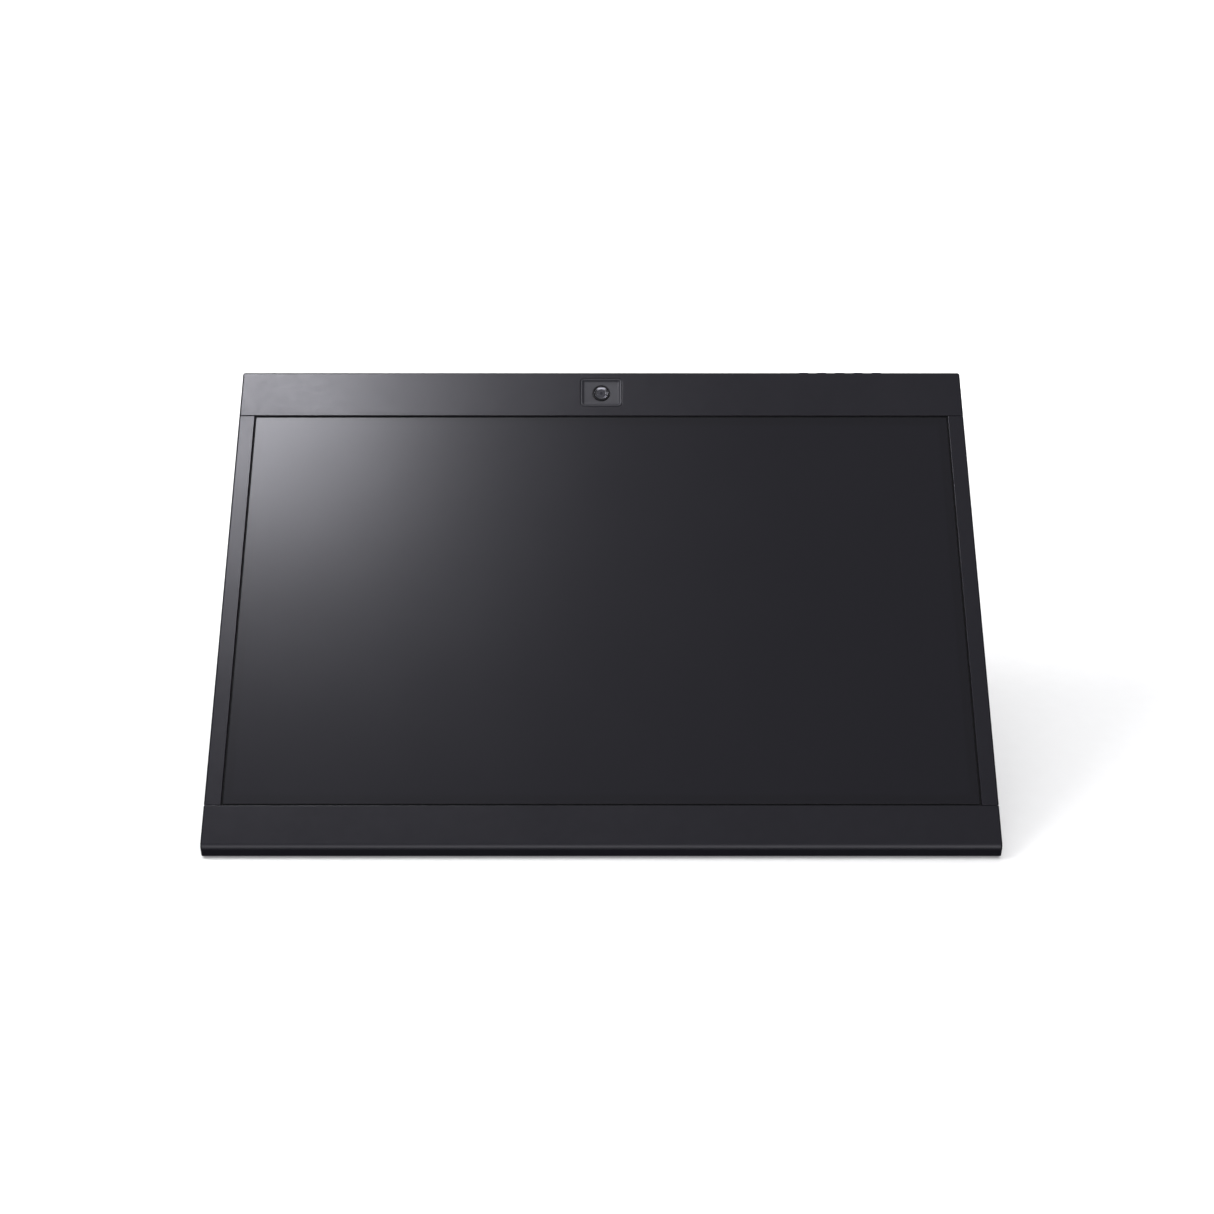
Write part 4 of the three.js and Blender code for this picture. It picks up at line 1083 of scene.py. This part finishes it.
def flat_socket(node, corner, pins, pitch, finishes):
    """A signal socket: plated mouth, dark blade and a row of contacts on it."""
    low, high = panel_box(node)
    middle = ((low + high) / 2)[[0, 2]]
    width, height = (high - low)[[0, 2]]
    shell = stacked(tiers(shell_rows(width, height, corner, middle, low[1], high[1], 0.5 * MM), TOP))
    stand_for(made(f"{node}_shell", shell, finishes["plated"]), node)
    mouth, back = low[1] + 1.5 * MM, high[1] - 4.2 * MM
    tongue(f"{node}_blade", 0.62 * width, 0.7 * MM, middle, mouth, back, finishes["black"], node)
    contacts(f"{node}_contacts", pins, pitch, 0.55 * pitch, middle, mouth + 0.6 * MM, 4 * MM, 0.5 * MM,
             finishes["gilt"], node)


def power_inlet(finishes):
    """A moulded block with a round throat, a plated liner and a centre pin."""
    low, high = panel_box("dc_jack")
    middle = ((low + high) / 2)[[0, 2]]
    width, height = (high - low)[[0, 2]]
    throat, wall = 3.2 * MM, 0.25 * MM
    block = rounded_loop(width, height, 1 * MM, middle)
    rows = [(block, high[1]), (block, low[1] + 0.3 * MM)]
    rows += [(rounded_loop(width - 0.6 * MM, height - 0.6 * MM, 0.8 * MM, middle), low[1])]
    for radius, level in ((throat + 0.5 * MM, 0.0), (throat, 0.5 * MM), (throat, high[1] - low[1] - 4 * MM)):
        rows.append((rounded_loop(2 * radius, 2 * radius, radius, middle), low[1] + level))
    finished("dc_jack_block", stacked(tiers(rows, TOP)), "dc_jack", finishes["black"])
    back = high[1] - 4.1 * MM
    liner = [(throat - 0.02 * MM, low[1] + 1 * MM), (throat - 0.02 * MM, back), (throat - wall, back)]
    liner += [(throat - wall, low[1] + 1 * MM), liner[0]]
    skin = stacked(revolved(liner, middle, TOP), lids=False)
    ride_with(made("dc_jack_liner", skin, finishes["plated"]), "dc_jack")
    pin = 1.1 * MM
    rows = [(0.0, back), (pin, back), *[(pin - i, low[1] + 1 * MM + pin - r) for i, r in quarter_round(pin)]]
    skin = stacked(revolved(rows, middle, TOP, sides=32), lids=False)
    ride_with(made("dc_jack_pin", skin, finishes["gilt"]), "dc_jack")


# ---------------------------------------------------------------- rear
REAR_PAD_HEIGHT = 1.2 * MM
REAR_EDGE = 0.6 * MM
LEG_EDGE = 0.8 * MM
LEG_SHORTEST = 2 * MM  # the facets round a leg's screw holes are shorter than this


def rear_cover(finish):
    """The cover as it is, with the edges of its sides, its rear faces and what opens there rounded."""
    piece = stand_for(copied("rear_cover_moulding", "rear_cover", finish), "rear_cover")
    low, high = panel_box("rear_cover")

    def outside(p):
        side = (np.abs(p[:, 0]) > high[0] - SAME) | (p[:, 1] < low[1] + SAME) | (p[:, 1] > high[1] - SAME)
        return side | (p[:, 2] < low[2] + REAR_PAD_HEIGHT + SAME)

    mark_edges(piece, outside)
    eased(piece, REAR_EDGE, marked=True)
    settled(piece)


def leg(node, finish):
    """A bent flat bar, with all but its screw holes' edges rounded."""
    piece = stand_for(copied(f"{node}_bar", node, finish), node)
    mark_edges(piece, lambda p: np.ones(len(p), bool), least=LEG_SHORTEST)
    eased(piece, LEG_EDGE, marked=True)
    settled(piece)


# ---------------------------------------------------------------- all the pieces
def build_pieces():
    frame_plastic = moulded("satin_charcoal", CHARCOAL, 0.34)
    bottom_bar(frame_plastic)
    top_bar(frame_plastic)
    side_bar(-1, frame_plastic)
    side_bar(1, frame_plastic)
    screen()
    camera_tray(smooth_black("camera_tray_black", (0.036, 0.036, 0.042), 0.42))
    camera_barrel(moulded("lens_ring_black", (0.010, 0.010, 0.011), 0.38, grain=0.2 * MM))
    camera_lens()
    key_plastic = moulded("key_charcoal", tone(CHARCOAL, 0.9)[:3], 0.42)
    for node in BUTTONS:
        button(node, key_plastic)
    rear_cover(moulded("rear_charcoal", (0.024, 0.024, 0.026), 0.52, grain=0.7 * MM, depth=0.07 * MM))
    coat = powder_coat("leg_powder_coat", (0.022, 0.022, 0.024), 0.46)
    pad = rubber("foot_rubber", (0.016, 0.016, 0.016))
    for side in ("left", "right"):
        leg(f"{side}_leg", coat)
        foot(f"{side}_leg_foot", pad)
        foot(f"{side}_front_foot", pad)
    oxide = black_oxide("black_oxide")
    for number in range(1, 5):
        screw(f"cover_screw_{number}", oxide)
        screw(f"leg_screw_{number}", oxide)
    finishes = {
        "plated": plated("socket_nickel", (0.55, 0.55, 0.57), 0.28),
        "gilt": plated("contact_gilt", (0.80, 0.58, 0.24), 0.25),
        "black": smooth_black("socket_black", (0.014, 0.014, 0.015), 0.4),
    }
    flat_socket("hdmi_port", 0.8 * MM, 10, 0.9 * MM, finishes)
    flat_socket("usb_c_port", 1.9 * MM, 8, 0.6 * MM, finishes)
    power_inlet(finishes)


BOARD_THICKNESS = 1.6 * MM


def dress_frame_nodes():
    """Finishes for the CAD nodes that stay as they are, inside the housing."""
    steel = pressed_metal("zinc_steel", (0.50, 0.51, 0.53), 0.38, (1.0, 0.06, 1.0))
    aluminium = pressed_metal("rolled_aluminium", (0.62, 0.63, 0.65), 0.33, (0.05, 1.0, 1.0))
    extrusion = pressed_metal("extruded_aluminium", (0.52, 0.53, 0.55), 0.40, (1.0, 0.03, 1.0))
    sheet = translucent("backlight_sheet", (0.82, 0.84, 0.87), 1.2 * MM)
    busy_board = circuit("populated_board", panel_box("main_board")[1][2] - BOARD_THICKNESS)
    bare_board = circuit("bare_board")
    strip = light_strip("light_strip")
    dressed = {
        "screen_gasket": foam("foam_tape"),
        "lcd_panel": display_layer("display_cells"),
        "lens_sheet": sheet,
        "diffuser_sheet": sheet,
        "light_guide": sheet,
        "led_strip_left": strip,
        "led_strip_right": strip,
        "backlight_tray": aluminium,
        "chassis_plate": aluminium,
        "left_leg_bracket": steel,
        "right_leg_bracket": steel,
        "vesa_plate": steel,
        "shield_can": steel,
        "heat_sink": extrusion,
        "main_board": busy_board,
        "power_board": busy_board,
        "timing_board": busy_board,
        "io_board": bare_board,
        "camera_board": bare_board,
        "button_board": bare_board,
        "camera_cable": ribbon("ribbon_cable"),
        "display_cable": ribbon("wide_ribbon_cable"),
        "button_cable": ribbon("button_ribbon_cable"),
        "left_speaker": moulded("speaker_box", (0.030, 0.030, 0.033), 0.5, grain=0.8 * MM, depth=0.05 * MM),
    }
    dressed["right_speaker"] = dressed["left_speaker"]
    for node, material in dressed.items():
        mesh = frame["nodes"][node].data
        mesh.materials.clear()
        mesh.materials.append(material)


# ---------------------------------------------------------------- floor, world and lights
COOL = (0.99, 0.985, 1.06, 1.0)  # the studio's light, a touch blue


def make_floor():
    """A pale floor that glows a little, and more far off, so that it meets the backdrop without a line."""
    finish = Finish("pale_floor", specular_ior_level=0.0, roughness=1.0)
    x, y, _ = finish.parts(finish.place)
    far = (x * x + y * y).root().rising(0.9, 1.7)
    speck = finish.noise(60.0, 3.0)
    finish.wear(
        base_color=finish.mixed(speck, (0.78, 0.78, 0.78, 1.0), (0.82, 0.82, 0.82, 1.0)),
        emission_color=finish.mixed(far, (0.17, 0.17, 0.17, 1.0), (1.2, 1.2, 1.2, 1.0)),
        emission_strength=1.0,
    )
    reach = 60.0
    corners = np.linspace(-reach, reach, 3)
    points = np.stack([*np.meshgrid(corners, corners), np.zeros((3, 3))], -1)
    skin = Skin()
    skin.grid(points)
    floor = made("floor", skin, finish.material, WORLD)
    floor.visible_glossy = False
    floor.visible_diffuse = False


def make_world():
    """White to the camera. To the surfaces, a studio lit by the angle up from the front horizon.

    It darkens towards both sides, as between two black screens."""
    world = bpy.data.worlds.new("studio")
    world.use_nodes = True
    bpy.context.scene.world = world
    nodes = Nodes(world.node_tree)
    x, y, z = nodes.parts(nodes.node("ShaderNodeTexCoord", output=0))
    turn = z.math("ARCTAN2", z, 0.0 - y) / (2 * math.pi) + 0.5
    levels = {
        -180: 0.02, -145: 0.03, -130: 0.55, -75: 0.50, -62: 0.02, -2: 0.02, 6: 2.10, 20: 2.10, 29: 0.28,
        42: 0.12, 60: 0.19, 76: 0.20, 95: 0.12, 112: 0.05, 126: 0.20, 145: 0.20, 160: 0.05, 180: 0.02,
    }
    stops = [((angle + 180) / 360, level) for angle, level in levels.items()]
    level = nodes.node("ShaderNodeValToRGB", {"stops": stops}, {0: turn})
    sides = 1.0 - 0.9 * x.size().rising(0.55, 0.85)
    lit = nodes.node("ShaderNodeBackground", None, {"Color": COOL, "Strength": level * sides})
    seen = nodes.node("ShaderNodeBackground", None, {"Color": (1.0, 1.0, 1.0, 1.0), "Strength": 1.0})
    to_camera = nodes.node("ShaderNodeLightPath", output=0)
    both = nodes.node("ShaderNodeMixShader", None, {0: to_camera, 1: lit, 2: seen})
    nodes.node("ShaderNodeOutputWorld", None, {"Surface": both})


def area_light(name, place, aim, size, power, seen_by):
    """A round light. seen_by is glossy or diffuse: the one kind of reflection that it gives."""
    data = bpy.data.lights.new(name, "AREA")
    data.shape = "DISK"
    data.size = size
    data.energy = power
    data.color = COOL[:3] if seen_by == "glossy" else (1.0, 1.0, 1.0)
    data.use_shadow = seen_by == "diffuse"
    light = bpy.data.objects.new(name, data)
    light.location = place
    light.rotation_euler = (Vector(aim) - Vector(place)).to_track_quat("-Z", "Y").to_euler()
    light.visible_glossy = seen_by == "glossy"
    light.visible_diffuse = seen_by == "diffuse"
    bpy.context.scene.collection.objects.link(light)


def make_lights():
    area_light("glow", (-0.74, -0.24, 1.70), (-0.20, 0.0, 0.2), 0.6, 17.0, "glossy")
    area_light("ceiling", (0.0, -0.1, 2.5), (0.0, -0.1, 0.0), 5.0, 80.0, "diffuse")
    area_light("left_soft", (-1.25, 0.0, 1.55), (0.0, -0.1, 0.0), 0.9, 20.0, "diffuse")
    area_light("rear_fill", (0.5, 1.7, 1.1), (0.0, 0.1, 0.15), 1.0, 14.0, "diffuse")
    bpy.context.scene.view_settings.view_transform = "Standard"


build_pieces()
dress_frame_nodes()
make_floor()
make_world()
make_lights()

bpy.context.view_layer.update()
